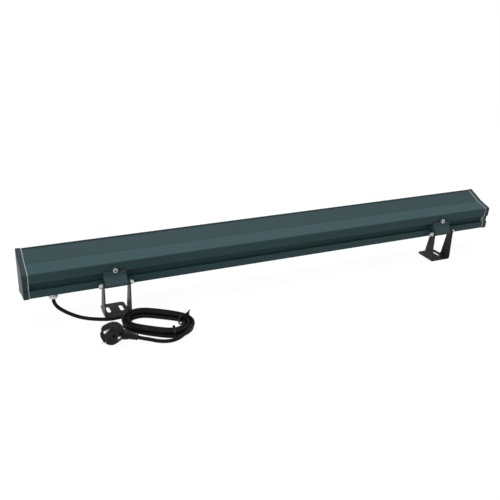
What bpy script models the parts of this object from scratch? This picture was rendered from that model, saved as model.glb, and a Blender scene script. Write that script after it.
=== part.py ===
"""LED wall-washer floodlight, one metre bar on two clamp feet, with its mains lead.

Metres, +Z up. The origin is on the floor, under the middle of the lamp without its lead.
X runs along the bar, +Y is the side that the light leaves from.
Bar pieces are drawn in the section's own axes: u from the back face to the glass, v up.
"""

import math

import bmesh
import bpy
from mathutils import Matrix, Vector

MM = 0.001
GAP = 0.3 * MM

# Bar: overall 1000 mm over the end caps
BAR_LENGTH = 1000 * MM
CAP_THICK = 8.4 * MM
GASKET_THICK = 2.0 * MM
HOUSING_LENGTH = BAR_LENGTH - 2 * (CAP_THICK + GASKET_THICK + 2 * GAP)

# Section, (u, v) of the upper half; the lower half mirrors it
BACK_HALF = 23.3 * MM
CREASE = (29.7 * MM, 29.35 * MM)
FRONT = (64.0 * MM, 42.1 * MM)
CORNER_ROUND = 2.5 * MM
WALL = 2.3 * MM
SLOT_HALF = 6.9 * MM
SLOT_WING = 11.5 * MM
SLOT_SHIFT = -1.7 * MM
LIP_THICK = 2.6 * MM
SLOT_DEPTH = 7.2 * MM
CHAMBER_BACK = 9.6 * MM
WEB_BACK = 36.0 * MM
WEB_FRONT = 39.0 * MM
LEDGE_BACK = 50.5 * MM
LEDGE_FRONT = 58.8 * MM
LEDGE_HALF = 30.6 * MM

# Screw ports that run through the housing, and the end screws
PORTS = [(5.0 * MM, 17.8 * MM), (5.0 * MM, -17.8 * MM), (54.2 * MM, 33.6 * MM), (54.2 * MM, -33.6 * MM)]
PORT_RADIUS = 2.3 * MM
END_SCREW_RADIUS = 1.9 * MM
END_SCREW_HEAD = 3.5 * MM
END_SCREW_LENGTH = 16 * MM
COUNTERBORE = (4.1 * MM, 4.4 * MM)

# Glass and its two rails
GLASS = (60.6 * MM, 63.7 * MM, 35.8 * MM)
SEAL = (59.1 * MM, 60.3 * MM, 31.2 * MM)
RAIL_FRONT = 67.2 * MM

# LED boards, lenses and their screws
BOARD_COUNT = 3
BOARD_SIZE = (320 * MM, 1.6 * MM, 40 * MM)
BOARD_STEP = 322 * MM
LEDS_PER_BOARD = 12
LED_STEP = 26.8 * MM
LED_SIZE = (3.5 * MM, 1.3 * MM)
LENS_BASE_RADIUS = 5.2 * MM
LENS_TOP_RADIUS = 10.0 * MM
LENS_TOP = 52.6 * MM
HOLDER_THICK = 3.2 * MM
HOLDER_HALF = 12.5 * MM

# Driver in the rear chamber
DRIVER_X = (-215 * MM, 95 * MM)
DRIVER_HALF = 19.5 * MM
DRIVER_WALL = 1.5 * MM
DRIVER_U = (11.0 * MM, 32.0 * MM)

# Feet and clamps
LEFT_X = -342.5 * MM
RIGHT_X = 370.6 * MM
PIVOT_Y = -35.94 * MM
PIVOT_Z = 62.0 * MM
REST_TILT = math.radians(4.2)
BACK_OFFSET = 8.9 * MM
CENTRE_RISE = 14.8 * MM
FOOT_HALF = 24.6 * MM
FOOT_THICK = 2.5 * MM
FOOT_BEND = 4.0 * MM
LEG_RADIUS = 7.0 * MM
LEG_FOOT_Y = 20.5 * MM
TONGUE_Y = 45.0 * MM
TONGUE_ROUND = 7.0 * MM
FOOT_SLOT = (7.2 * MM, 24.5 * MM)
FOOT_SLOT_X = 12.0 * MM
FOOT_SLOT_Y = 23.0 * MM
SADDLE_HALF = 20.3 * MM
KNUCKLE = 5.2 * MM
SADDLE_FOLD = (-3.4 * MM, -0.7 * MM)
SADDLE_TOP = 8.0 * MM
LOCK_SCREW_V = 10.4 * MM
LOCK_HEAD = (4.25 * MM, 2.8 * MM)
EAR_RADIUS = 6.6 * MM
EAR_FACE = -3.8 * MM
BOLT_RADIUS = 2.4 * MM
BOLT_BORE = 2.8 * MM
BOLT_HEAD = (4.62 * MM, 4.6 * MM)
WASHER = (5.2 * MM, 1.6 * MM)
OUTER_SIDE = {"left": -1, "right": 1}

# Cable gland in the lower side of the housing
GLAND_X = -448.8 * MM
GLAND_U = 17.5 * MM
GLAND_EXIT = 11.3 * MM

# Lead: 6.6 mm cord, one coil of piled loops, angled mains plug
CORD_RADIUS = 3.3 * MM
CORD_POINT_STEP = 14 * MM
COIL_CENTRE = (-289.5 * MM, -102.2 * MM)
COIL_TURN = math.radians(-37.0)
COIL_STRAIGHT = 25.5 * MM
COIL_RADIUS = 39.2 * MM
COIL_FLATNESS = 3.0
COIL_ENTRY = math.radians(125.0)
COIL_TURNS = 4.375
COIL_POINTS_PER_TURN = 24
CLIMB_START = 1.95
CLIMB_TURNS = 0.5
LANE = 7.55 * MM
COIL_Z = CORD_RADIUS + 1.05 * MM
FLOOR_Z = CORD_RADIUS + 0.2 * MM
TIE_ANGLES = (math.radians(58.0), math.radians(-58.0))
TIE_WIDTH = 3.6 * MM
TIE_THICK = 0.7 * MM
LEAD_ROUTE = [
    (-448.4 * MM, -11.6 * MM, 34.4 * MM),
    (-446.2 * MM, -12.6 * MM, 28.6 * MM),
    (-441.2 * MM, -14.2 * MM, 22.4 * MM),
    (-433.4 * MM, -16.8 * MM, 16.2 * MM),
    (-423.8 * MM, -20.8 * MM, 10.8 * MM),
    (-412.6 * MM, -26.6 * MM, 6.4 * MM),
    (-400.8 * MM, -33.4 * MM, 4.1 * MM),
    (-388.0 * MM, -40.8 * MM, FLOOR_Z),
    (-374.0 * MM, -47.6 * MM, FLOOR_Z),
    (-361.0 * MM, -51.9 * MM, FLOOR_Z),
    (-346.0 * MM, -52.6 * MM, FLOOR_Z + 0.3 * MM),
    (-333.0 * MM, -51.5 * MM, FLOOR_Z + 0.7 * MM),
]
TAIL_ROUTE = [
    (-259.0 * MM, -160.0 * MM, 10.4 * MM),
    (-270.5 * MM, -165.3 * MM, 7.6 * MM),
    (-282.5 * MM, -164.9 * MM, 5.0 * MM),
    (-294.5 * MM, -160.8 * MM, FLOOR_Z + 0.3 * MM),
    (-306.0 * MM, -155.6 * MM, 4.4 * MM),
    (-316.0 * MM, -151.2 * MM, 6.6 * MM),
]
PLUG_CENTRE = (-373.0 * MM, -128.0 * MM, 19.1 * MM)
PLUG_FACING = (-0.69, -0.70, 0.2)
PLUG_EXIT = (0.89, -0.41, -0.2)
PLUG_RADIUS = 18.5 * MM
PLUG_FACE = 12 * MM
NECK_ROOT = (6 * MM, 0.0, -4.5 * MM)
NECK_LENGTH = 18 * MM
SLEEVE_END = 35 * MM
PIN_SPACING = 19 * MM
PIN_RADIUS = 2.4 * MM
PIN_LENGTH = 19 * MM

MATERIALS = {
    "housing_coat": ((0.058, 0.082, 0.088), 0.55, 0.25),
    "cap_coat": ((0.030, 0.040, 0.046), 0.5, 0.25),
    "foot_coat": ((0.022, 0.026, 0.028), 0.5, 0.3),
    "silicone": ((0.45, 0.48, 0.48), 0.6, 0.0),
    "black_seal": ((0.012, 0.012, 0.013), 0.7, 0.0),
    "rail_black": ((0.012, 0.014, 0.015), 0.45, 0.3),
    "clear_glass": ((0.85, 0.92, 0.9), 0.05, 0.0),
    "lens_clear": ((0.9, 0.92, 0.92), 0.1, 0.0),
    "board_white": ((0.8, 0.8, 0.78), 0.5, 0.0),
    "led_yellow": ((0.85, 0.6, 0.12), 0.4, 0.0),
    "black_plastic": ((0.015, 0.015, 0.016), 0.5, 0.0),
    "zinc": ((0.6, 0.61, 0.62), 0.35, 1.0),
    "driver_metal": ((0.5, 0.51, 0.52), 0.45, 1.0),
    "green_board": ((0.03, 0.15, 0.06), 0.5, 0.0),
    "wire_brown": ((0.12, 0.05, 0.02), 0.5, 0.0),
    "wire_red": ((0.4, 0.03, 0.02), 0.5, 0.0),
    "cord_black": ((0.010, 0.010, 0.011), 0.6, 0.0),
}


# Scene and object helpers

def clear_scene():
    for old in list(bpy.data.objects):
        bpy.data.objects.remove(old, do_unlink=True)


def get_material(slot):
    if slot in bpy.data.materials:
        return bpy.data.materials[slot]
    colour, roughness, metallic = MATERIALS[slot]
    made = bpy.data.materials.new(slot)
    made.use_nodes = True
    shader = made.node_tree.nodes["Principled BSDF"]
    shader.inputs["Base Color"].default_value = (*colour, 1.0)
    shader.inputs["Roughness"].default_value = roughness
    shader.inputs["Metallic"].default_value = metallic
    return made


def add_empty(name, place, tilt=0.0):
    empty = bpy.data.objects.new(name, None)
    empty.empty_display_size = 0.02
    empty.location = place
    empty.rotation_euler = (tilt, 0.0, 0.0)
    bpy.context.scene.collection.objects.link(empty)
    return empty


def add_object(name, bm, slot, parent=None, smooth=False):
    bmesh.ops.remove_doubles(bm, verts=bm.verts, dist=0.001 * MM)
    bmesh.ops.recalc_face_normals(bm, faces=bm.faces)
    mesh = bpy.data.meshes.new(name)
    bm.to_mesh(mesh)
    bm.free()
    mesh.materials.append(get_material(slot))
    if smooth:
        mesh.shade_smooth()
        mesh.set_sharp_from_angle(angle=math.radians(32))
    made = bpy.data.objects.new(name, mesh)
    bpy.context.scene.collection.objects.link(made)
    made.parent = parent
    return made


def add_cutter(name, bm, parent=None):
    cutter = add_object(name, bm, "black_plastic", parent)
    cutter.hide_render = True
    cutter.display_type = "WIRE"
    return cutter


def combine(target, operation, operand):
    step = target.modifiers.new(operand.name, "BOOLEAN")
    step.operation = operation
    step.solver = "EXACT"
    step.object = operand
    return target


# Shape helpers

def arc(centre, radius, start, end, steps):
    """Points on an arc, angles in degrees, both ends included."""
    turn = [math.radians(start + (end - start) * n / steps) for n in range(steps + 1)]
    return [(centre[0] + radius * math.cos(a), centre[1] + radius * math.sin(a)) for a in turn]


def ring_points(centre, radius, sides):
    return arc(centre, radius, 0, 360, sides)[:-1]


def mirrored(upper):
    """Closes an outline whose upper half is given, from the front round to the back."""
    return upper + [(u, -v) for u, v in reversed(upper)]


def prism(outline, low, high, holes=(), axis="X", into=None):
    """An outline with holes, filled and extruded along one axis."""
    place = {
        "X": lambda a, b: (low, a, b),
        "Y": lambda a, b: (a, low, b),
        "Z": lambda a, b: (a, b, low),
    }[axis]
    along = Vector({"X": (1, 0, 0), "Y": (0, 1, 0), "Z": (0, 0, 1)}[axis])
    bm = bmesh.new()
    edges = []
    for loop in [outline, *holes]:
        points = [bm.verts.new(place(a, b)) for a, b in loop]
        edges += [bm.edges.new((points[n - 1], points[n])) for n in range(len(points))]
    bmesh.ops.triangle_fill(bm, use_beauty=True, edges=edges, normal=along)
    flat = bm.faces[:]
    made = bmesh.ops.extrude_face_region(bm, geom=flat, use_keep_orig=True)
    moved = [item for item in made["geom"] if isinstance(item, bmesh.types.BMVert)]
    bmesh.ops.translate(bm, vec=along * (high - low), verts=moved)
    bmesh.ops.recalc_face_normals(bm, faces=bm.faces)
    return add_into(into, bm)


def add_into(target, bm):
    """Moves a finished shape into a bmesh that holds a group of shapes."""
    if target is None:
        return bm
    step = bpy.data.meshes.new("step")
    bm.to_mesh(step)
    bm.free()
    target.from_mesh(step)
    bpy.data.meshes.remove(step)
    return target


def box(low, high, into=None):
    bm = bmesh.new()
    bmesh.ops.create_cube(bm, size=1.0)
    size = Vector(high) - Vector(low)
    middle = (Vector(high) + Vector(low)) / 2
    bmesh.ops.scale(bm, vec=size, verts=bm.verts)
    bmesh.ops.translate(bm, vec=middle, verts=bm.verts)
    return add_into(into, bm)


def frame_at(origin, forward, side=(0, 0, 1)):
    """Axes with +Z along forward and +X as near to side as it can be."""
    z = Vector(forward).normalized()
    x = Vector(side) - z * z.dot(Vector(side))
    if x.length < 1e-6:
        x = z.orthogonal()
    x.normalize()
    y = z.cross(x)
    turn = Matrix((x, y, z)).transposed().to_4x4()
    return Matrix.Translation(Vector(origin)) @ turn


def turned(profile, sides, matrix, into=None):
    """A turned solid: (radius, height) points spun round the +Z axis of the matrix."""
    bm = bmesh.new()
    points = [bm.verts.new((r, 0.0, h)) for r, h in profile]
    edges = [bm.edges.new((points[n], points[n + 1])) for n in range(len(points) - 1)]
    closed = profile[0][0] > 0
    if closed:
        edges.append(bm.edges.new((points[-1], points[0])))
    bmesh.ops.spin(
        bm, geom=edges, cent=(0, 0, 0), axis=(0, 0, 1), dvec=(0, 0, 0),
        angle=math.tau, steps=sides, use_merge=True, use_duplicate=False,
    )
    bmesh.ops.remove_doubles(bm, verts=bm.verts, dist=0.002 * MM)
    bmesh.ops.recalc_face_normals(bm, faces=bm.faces)
    bmesh.ops.transform(bm, matrix=matrix, verts=bm.verts)
    return add_into(into, bm)


def rod(start, end, radius, sides, into=None):
    reach = Vector(end) - Vector(start)
    profile = [(0.0, 0.0), (radius, 0.0), (radius, reach.length), (0.0, reach.length)]
    return turned(profile, sides, frame_at(start, reach), into)


def tube(name, points, radius, slot, resolution=1):
    """A cord or wire: a poly curve with a round bevel and filled ends."""
    curve = bpy.data.curves.new(name, "CURVE")
    curve.dimensions = "3D"
    curve.bevel_depth = radius
    curve.bevel_resolution = resolution
    curve.use_fill_caps = True
    spline = curve.splines.new("POLY")
    spline.points.add(len(points) - 1)
    for target, point in zip(spline.points, points):
        target.co = (*point, 1.0)
    curve.materials.append(get_material(slot))
    made = bpy.data.objects.new(name, curve)
    bpy.context.scene.collection.objects.link(made)
    return made


def smooth_route(points, step):
    """Even points on a Catmull-Rom curve through a route; its first and last lengths stay straight."""
    route = [Vector(p) for p in points]
    fine = []
    for n in range(1, len(route) - 2):
        a, b, c, d = route[n - 1:n + 3]
        for k in range(16):
            t = k / 16
            fine.append(0.5 * (
                2 * b + (c - a) * t + (2 * a - 5 * b + 4 * c - d) * t ** 2
                + (3 * b - a - 3 * c + d) * t ** 3
            ))
    fine.append(route[-2])
    lengths = [0.0]
    for before, after in zip(fine, fine[1:]):
        lengths.append(lengths[-1] + (after - before).length)
    count = max(2, round(lengths[-1] / step))
    even, n = [], 0
    for k in range(count + 1):
        want = lengths[-1] * k / count
        while n < len(lengths) - 2 and lengths[n + 1] < want:
            n += 1
        share = (want - lengths[n]) / (lengths[n + 1] - lengths[n])
        even.append(fine[n].lerp(fine[n + 1], min(1.0, share)))
    return [route[0], *even, route[-1]]


# Section of the bar

def side_v(u):
    """Height of the outer side above the section's middle line."""
    if u < CREASE[0]:
        return BACK_HALF + u * (CREASE[1] - BACK_HALF) / CREASE[0]
    return CREASE[1] + (u - CREASE[0]) * (FRONT[1] - CREASE[1]) / (FRONT[0] - CREASE[0])


def inner_v(u):
    return side_v(u) - WALL * 1.04


def with_slot(outline):
    """Moves the channel's corners down to where the channel lies, a little under the middle."""
    wing = SLOT_WING + 0.01 * MM
    return [(u, v + SLOT_SHIFT) if u < CHAMBER_BACK - MM and abs(v) < wing else (u, v) for u, v in outline]


def housing_outline():
    back_corner = arc((CORNER_ROUND, BACK_HALF - CORNER_ROUND + 0.5 * MM), CORNER_ROUND, 102, 180, 4)
    upper = [
        (WEB_FRONT, inner_v(WEB_FRONT)),
        (LEDGE_BACK, inner_v(LEDGE_BACK)),
        (LEDGE_BACK, LEDGE_HALF),
        (LEDGE_FRONT, LEDGE_HALF),
        (LEDGE_FRONT, inner_v(LEDGE_FRONT)),
        (FRONT[0], inner_v(FRONT[0])),
        FRONT,
        CREASE,
        *back_corner,
        (0.0, SLOT_HALF),
        (LIP_THICK, SLOT_HALF),
        (LIP_THICK, SLOT_WING),
        (SLOT_DEPTH, SLOT_WING),
    ]
    return with_slot(mirrored(upper))


def rear_chamber():
    upper = [
        (WEB_BACK, inner_v(WEB_BACK)),
        (CREASE[0] + 0.3 * MM, inner_v(CREASE[0])),
        (CHAMBER_BACK, inner_v(CHAMBER_BACK)),
    ]
    return mirrored(upper)


def cap_outline(grow, front, notch):
    """Outline of the end pieces: the housing's outline grown, with the channel as a notch."""
    corner = arc((CORNER_ROUND, BACK_HALF - CORNER_ROUND + 0.5 * MM), CORNER_ROUND + grow, 102, 180, 4)
    upper = [
        (front, side_v(FRONT[0]) + grow - 1.2 * MM),
        (front - 1.0 * MM, side_v(FRONT[0]) + grow),
        (FRONT[0], side_v(FRONT[0]) + grow),
        (CREASE[0], CREASE[1] + grow),
        *corner,
        (-grow, SLOT_HALF),
        (notch, SLOT_HALF - 0.8 * MM),
    ]
    return with_slot(mirrored(upper))


def bar_object(name, bm, slot, tilt_axis, smooth=False):
    """A piece drawn in (x, u, v), hung on the empty that lies on the tilt axis."""
    bmesh.ops.translate(bm, vec=(0, BACK_OFFSET, CENTRE_RISE), verts=bm.verts)
    return add_object(name, bm, slot, tilt_axis, smooth)


def bar_cutter(name, bm, tilt_axis):
    bmesh.ops.translate(bm, vec=(0, BACK_OFFSET, CENTRE_RISE), verts=bm.verts)
    return add_cutter(name, bm, tilt_axis)


def in_world(point):
    """World place of a point given as (x, u, v)."""
    y = point[1] + BACK_OFFSET
    z = point[2] + CENTRE_RISE
    cos, sin = math.cos(REST_TILT), math.sin(REST_TILT)
    return Vector((point[0], PIVOT_Y + y * cos - z * sin, PIVOT_Z + y * sin + z * cos))


# Bar: housing, ends, glass

def gland_frame(height=0.0):
    """Frame on the lower side of the housing, +Z out of the wall."""
    slope = (CREASE[1] - BACK_HALF) / CREASE[0]
    outward = Vector((0.0, -slope, -1.0)).normalized()
    origin = Vector((GLAND_X, GLAND_U, -side_v(GLAND_U))) + outward * height
    return frame_at(origin, outward, (1, 0, 0))


def make_housing(tilt_axis):
    half = HOUSING_LENGTH / 2
    ports = [ring_points(port, PORT_RADIUS, 12) for port in PORTS]
    bm = prism(housing_outline(), -half, half, [rear_chamber(), *ports])
    housing = bar_object("housing", bm, "housing_coat", tilt_axis)
    gland_hole = turned([(0, -8 * MM), (6.4 * MM, -8 * MM), (6.4 * MM, 8 * MM), (0, 8 * MM)], 16, gland_frame())
    combine(housing, "DIFFERENCE", bar_cutter("cut_gland_hole", gland_hole, tilt_axis))
    combine(housing, "DIFFERENCE", bar_cutter("cut_board_screws", board_screw_holes(), tilt_axis))
    grommet = rod((GROMMET_X, WEB_BACK - 4 * MM, GROMMET_V), (GROMMET_X, WEB_FRONT + 4 * MM, GROMMET_V), 3.6 * MM, 12)
    combine(housing, "DIFFERENCE", bar_cutter("cut_grommet_hole", grommet, tilt_axis))
    earth = rod((EARTH_X + 3 * MM, SLOT_DEPTH + 1.0 * MM, 0), (EARTH_X + 3 * MM, CHAMBER_BACK + 3 * MM, 0), 2.2 * MM, 12)
    combine(housing, "DIFFERENCE", bar_cutter("cut_earth_screw", earth, tilt_axis))


def make_end(side, tilt_axis):
    """End cap, its gasket and four screws; side is -1 for the left end, +1 for the right."""
    name = "left" if side < 0 else "right"
    outer = side * BAR_LENGTH / 2
    inner = outer - side * CAP_THICK
    cap = prism(cap_outline(1.0 * MM, 68.2 * MM, 2.4 * MM), min(inner, outer), max(inner, outer))
    rim = [e for e in cap.edges if all(abs(v.co.x - outer) < 1e-6 for v in e.verts) and len(e.link_faces) == 2]
    rim = [e for e in rim if abs(e.link_faces[0].normal.x - e.link_faces[1].normal.x) > 0.5]
    bmesh.ops.bevel(
        cap, geom=rim, offset=1.0 * MM, offset_type="OFFSET", segments=2, profile=0.5,
        affect="EDGES", material=-1, clamp_overlap=True,
    )
    cap_object = bar_object(f"end_cap_{name}", cap, "cap_coat", tilt_axis)
    bores = bmesh.new()
    for u, v in PORTS:
        step = outer - side * COUNTERBORE[1]
        rod((outer + side * 3 * MM, u, v), (step, u, v), COUNTERBORE[0], 16, bores)
    combine(cap_object, "DIFFERENCE", bar_cutter(f"cut_counterbores_{name}", bores, tilt_axis))
    shafts = bmesh.new()
    for u, v in PORTS:
        rod((outer, u, v), (inner - side * 6 * MM, u, v), PORT_RADIUS, 12, shafts)
    shaft_cutter = bar_cutter(f"cut_end_screws_{name}", shafts, tilt_axis)
    combine(cap_object, "DIFFERENCE", shaft_cutter)

    near = inner - side * GAP
    far = near - side * GASKET_THICK
    holes = [ring_points(port, PORT_RADIUS, 12) for port in PORTS]
    gasket = prism(cap_outline(0.4 * MM, 67.4 * MM, 1.6 * MM), min(near, far), max(near, far), holes)
    bar_object(f"end_gasket_{name}", gasket, "silicone", tilt_axis)

    seat = outer - side * (COUNTERBORE[1] - GAP)
    for n, (u, v) in enumerate(PORTS):
        screw = socket_screw((seat, u, v), (side, 0, 0), END_SCREW_HEAD, 3.4 * MM, END_SCREW_RADIUS, END_SCREW_LENGTH)
        bar_object(f"end_screw_{name}_{n + 1}", screw, "zinc", tilt_axis, smooth=True)


def socket_screw(seat, outward, head, head_height, shank, length):
    """A cap screw with a round socket, its head's underside at seat."""
    profile = [
        (0.0, -length), (shank, -length), (shank, 0.0), (head, 0.0), (head, head_height - 0.4 * MM),
        (head - 0.4 * MM, head_height), (head * 0.55, head_height), (head * 0.55, head_height * 0.45),
        (0.0, head_height * 0.45),
    ]
    return turned(profile, 12, frame_at(seat, outward))


def make_glass(tilt_axis):
    half = HOUSING_LENGTH / 2 - 0.5 * MM
    low, high, glass_half = GLASS
    glass = box((-half, low, -glass_half), (half, high, glass_half))
    bar_object("front_glass", glass, "clear_glass", tilt_axis)
    low, high, inner = SEAL
    outline = [(-half, -glass_half), (half, -glass_half), (half, glass_half), (-half, glass_half)]
    hole_half = half - 5 * MM
    hole = [(-hole_half, -inner), (hole_half, -inner), (hole_half, inner), (-hole_half, inner)]
    seal = prism(outline, low, high, [hole], axis="Z")
    turn = Matrix(((1, 0, 0), (0, 0, 1), (0, 1, 0))).to_4x4()
    bmesh.ops.transform(seal, matrix=turn, verts=seal.verts)
    bar_object("glass_seal", seal, "black_seal", tilt_axis)


def make_rails(tilt_axis):
    half = HOUSING_LENGTH / 2
    back = FRONT[0] + GAP
    profile = [
        (back, 42.3 * MM), (RAIL_FRONT - 0.8 * MM, 42.0 * MM), (RAIL_FRONT, 41.0 * MM),
        (RAIL_FRONT, 34.0 * MM), (back + 0.6 * MM, 31.8 * MM), (back, 31.8 * MM),
        (back, 36.3 * MM), (61.0 * MM, 36.3 * MM), (61.0 * MM, 37.9 * MM), (back, 37.9 * MM),
    ]
    for name, sign in (("front_rail_top", 1), ("front_rail_bottom", -1)):
        rail = prism([(u, sign * v) for u, v in profile], -half, half)
        bar_object(name, rail, "rail_black", tilt_axis)


# Bar: light engine

def board_centre(n):
    return (n - (BOARD_COUNT - 1) / 2) * BOARD_STEP


def led_places(n):
    return [board_centre(n) + (k - (LEDS_PER_BOARD - 1) / 2) * LED_STEP for k in range(LEDS_PER_BOARD)]


def board_screw_holes():
    holes = bmesh.new()
    for x in [board_centre(n) for n in range(BOARD_COUNT)]:
        rod((x, WEB_BACK - 3 * MM, 0), (x, WEB_FRONT + 12 * MM, 0), 1.8 * MM, 10, holes)
    return holes


def make_board(n, tilt_axis):
    centre = board_centre(n)
    back = WEB_FRONT + GAP
    front = back + BOARD_SIZE[1]
    half = BOARD_SIZE[0] / 2
    hole = ring_points((centre, 0.0), 1.8 * MM, 10)
    turn = Matrix(((1, 0, 0), (0, 0, 1), (0, 1, 0))).to_4x4()

    edge = BOARD_SIZE[2] / 2
    corners = [(centre - half, -edge), (centre + half, -edge), (centre + half, edge), (centre - half, edge)]
    board = prism(corners, back, front, [hole], axis="Z")
    bmesh.ops.transform(board, matrix=turn, verts=board.verts)
    board_object = bar_object(f"led_board_{n + 1}", board, "board_white", tilt_axis)
    chips = bmesh.new()
    size, height = LED_SIZE
    for x in led_places(n):
        box((x - size / 2, front - 0.4 * MM, -size / 2), (x + size / 2, front + height, size / 2), chips)
    combine(board_object, "UNION", bar_cutter(f"led_chips_{n + 1}", chips, tilt_axis))

    holder = front + GAP
    hold = HOLDER_HALF
    reach = half - 3 * MM
    corners = [(centre - reach, -hold), (centre + reach, -hold), (centre + reach, hold), (centre - reach, hold)]
    strip = prism(corners, holder, holder + HOLDER_THICK, [hole], axis="Z")
    bmesh.ops.transform(strip, matrix=turn, verts=strip.verts)
    strip_object = bar_object(f"lens_strip_{n + 1}", strip, "lens_clear", tilt_axis)
    cones = bmesh.new()
    hollows = bmesh.new()
    for x in led_places(n):
        place = frame_at((x, holder, 0), (0, 1, 0))
        top = LENS_TOP - holder
        turned([(0, 1.0 * MM), (LENS_BASE_RADIUS, 1.0 * MM), (LENS_TOP_RADIUS, top), (0, top - 1.2 * MM)], 10, place, cones)
        turned([(0, -2 * MM), (3.4 * MM, -2 * MM), (3.2 * MM, 2.2 * MM), (0, 2.8 * MM)], 8, place, hollows)
    combine(strip_object, "UNION", bar_cutter(f"lens_cones_{n + 1}", cones, tilt_axis))
    combine(strip_object, "DIFFERENCE", bar_cutter(f"cut_lens_hollows_{n + 1}", hollows, tilt_axis))

    seat = holder + HOLDER_THICK + GAP
    profile = [
        (0.0, -8.6 * MM), (1.4 * MM, -8.6 * MM), (1.4 * MM, 0.0), (2.8 * MM, 0.0),
        (2.6 * MM, 1.2 * MM), (1.4 * MM, 1.9 * MM), (0.0, 1.9 * MM),
    ]
    screw = turned(profile, 10, frame_at((centre, seat, 0), (0, 1, 0)))
    bar_object(f"lens_screw_{n + 1}", screw, "zinc", tilt_axis, smooth=True)


# Bar: driver and wiring

GROMMET_X = -236 * MM
GROMMET_V = 24.3 * MM
DRIVER_WIRE_U = 24 * MM
LED_LEAD_V = 12.5 * MM
EARTH_X = -384 * MM


def make_driver(tilt_axis):
    x0, x1 = DRIVER_X
    u0, u1 = DRIVER_U
    half = DRIVER_HALF
    wall = DRIVER_WALL
    pad = box((x0 + 5 * MM, CHAMBER_BACK + GAP, -15 * MM), (x1 - 5 * MM, u0 - GAP, 15 * MM))
    bar_object("driver_pad", pad, "silicone", tilt_axis)
    case = bar_object("driver_case", box((x0, u0, -half), (x1, u1 - 2 * MM, half)), "driver_metal", tilt_axis)
    hollow = box((x0 + wall, u0 + wall, -half + wall), (x1 - wall, u1 + 2 * MM, half - wall))
    combine(case, "DIFFERENCE", bar_cutter("cut_driver_hollow", hollow, tilt_axis))
    lead_holes = bmesh.new()
    for v in (-4.5 * MM, 4.5 * MM):
        rod((x0 - 3 * MM, DRIVER_WIRE_U, v), (x0 + 4 * MM, DRIVER_WIRE_U, v), 1.7 * MM, 10, lead_holes)
    rod((x0 - 3 * MM, DRIVER_WIRE_U, LED_LEAD_V), (x0 + 4 * MM, DRIVER_WIRE_U, LED_LEAD_V), 2.5 * MM, 10, lead_holes)
    combine(case, "DIFFERENCE", bar_cutter("cut_driver_leads", lead_holes, tilt_axis))
    board = box((x0 + 4 * MM, u0 + 3.2 * MM, -half + 2.2 * MM), (x1 - 4 * MM, u0 + 4.8 * MM, half - 2.2 * MM))
    board_object = bar_object("driver_board", board, "green_board", tilt_axis)

    parts = bmesh.new()
    base = u0 + 4.4 * MM
    box((-80 * MM, base, -13 * MM), (-52 * MM, base + 11 * MM, 13 * MM), parts)
    box((20 * MM, base, -12 * MM), (38 * MM, base + 9 * MM, 4 * MM), parts)
    for x, v in ((-120 * MM, -8 * MM), (-120 * MM, 8 * MM), (0.0, -6 * MM), (62 * MM, 7 * MM)):
        rod((x, base, v), (x, base + 11.5 * MM, v), 5 * MM, 12, parts)
    box((-196 * MM, base, -9 * MM), (-184 * MM, base + 10 * MM, 9 * MM), parts)
    combine(board_object, "UNION", bar_cutter("driver_components", parts, tilt_axis))
    lid = box((x0, u1 - 2 * MM + GAP, -half), (x1, u1, half))
    bar_object("driver_lid", lid, "driver_metal", tilt_axis)


def sweep(route, sections, step=9 * MM, side=(0.3, 0.2, 1.0)):
    """A wire: an outline of points carried along a smooth route, its first axis near to side."""
    bm = bmesh.new()
    points = smooth_route(route, step)
    rings = []
    for n, point in enumerate(points):
        ahead = points[min(n + 1, len(points) - 1)] - points[max(n - 1, 0)]
        place = frame_at(point, ahead, side)
        rings.append([bm.verts.new(place @ Vector((*p, 0.0))) for p in sections])
    count = len(sections)
    for before, after in zip(rings, rings[1:]):
        for k in range(count):
            bm.faces.new((before[k - 1], before[k], after[k], after[k - 1]))
    bm.faces.new(reversed(rings[0]))
    bm.faces.new(rings[-1])
    return bm


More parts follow.
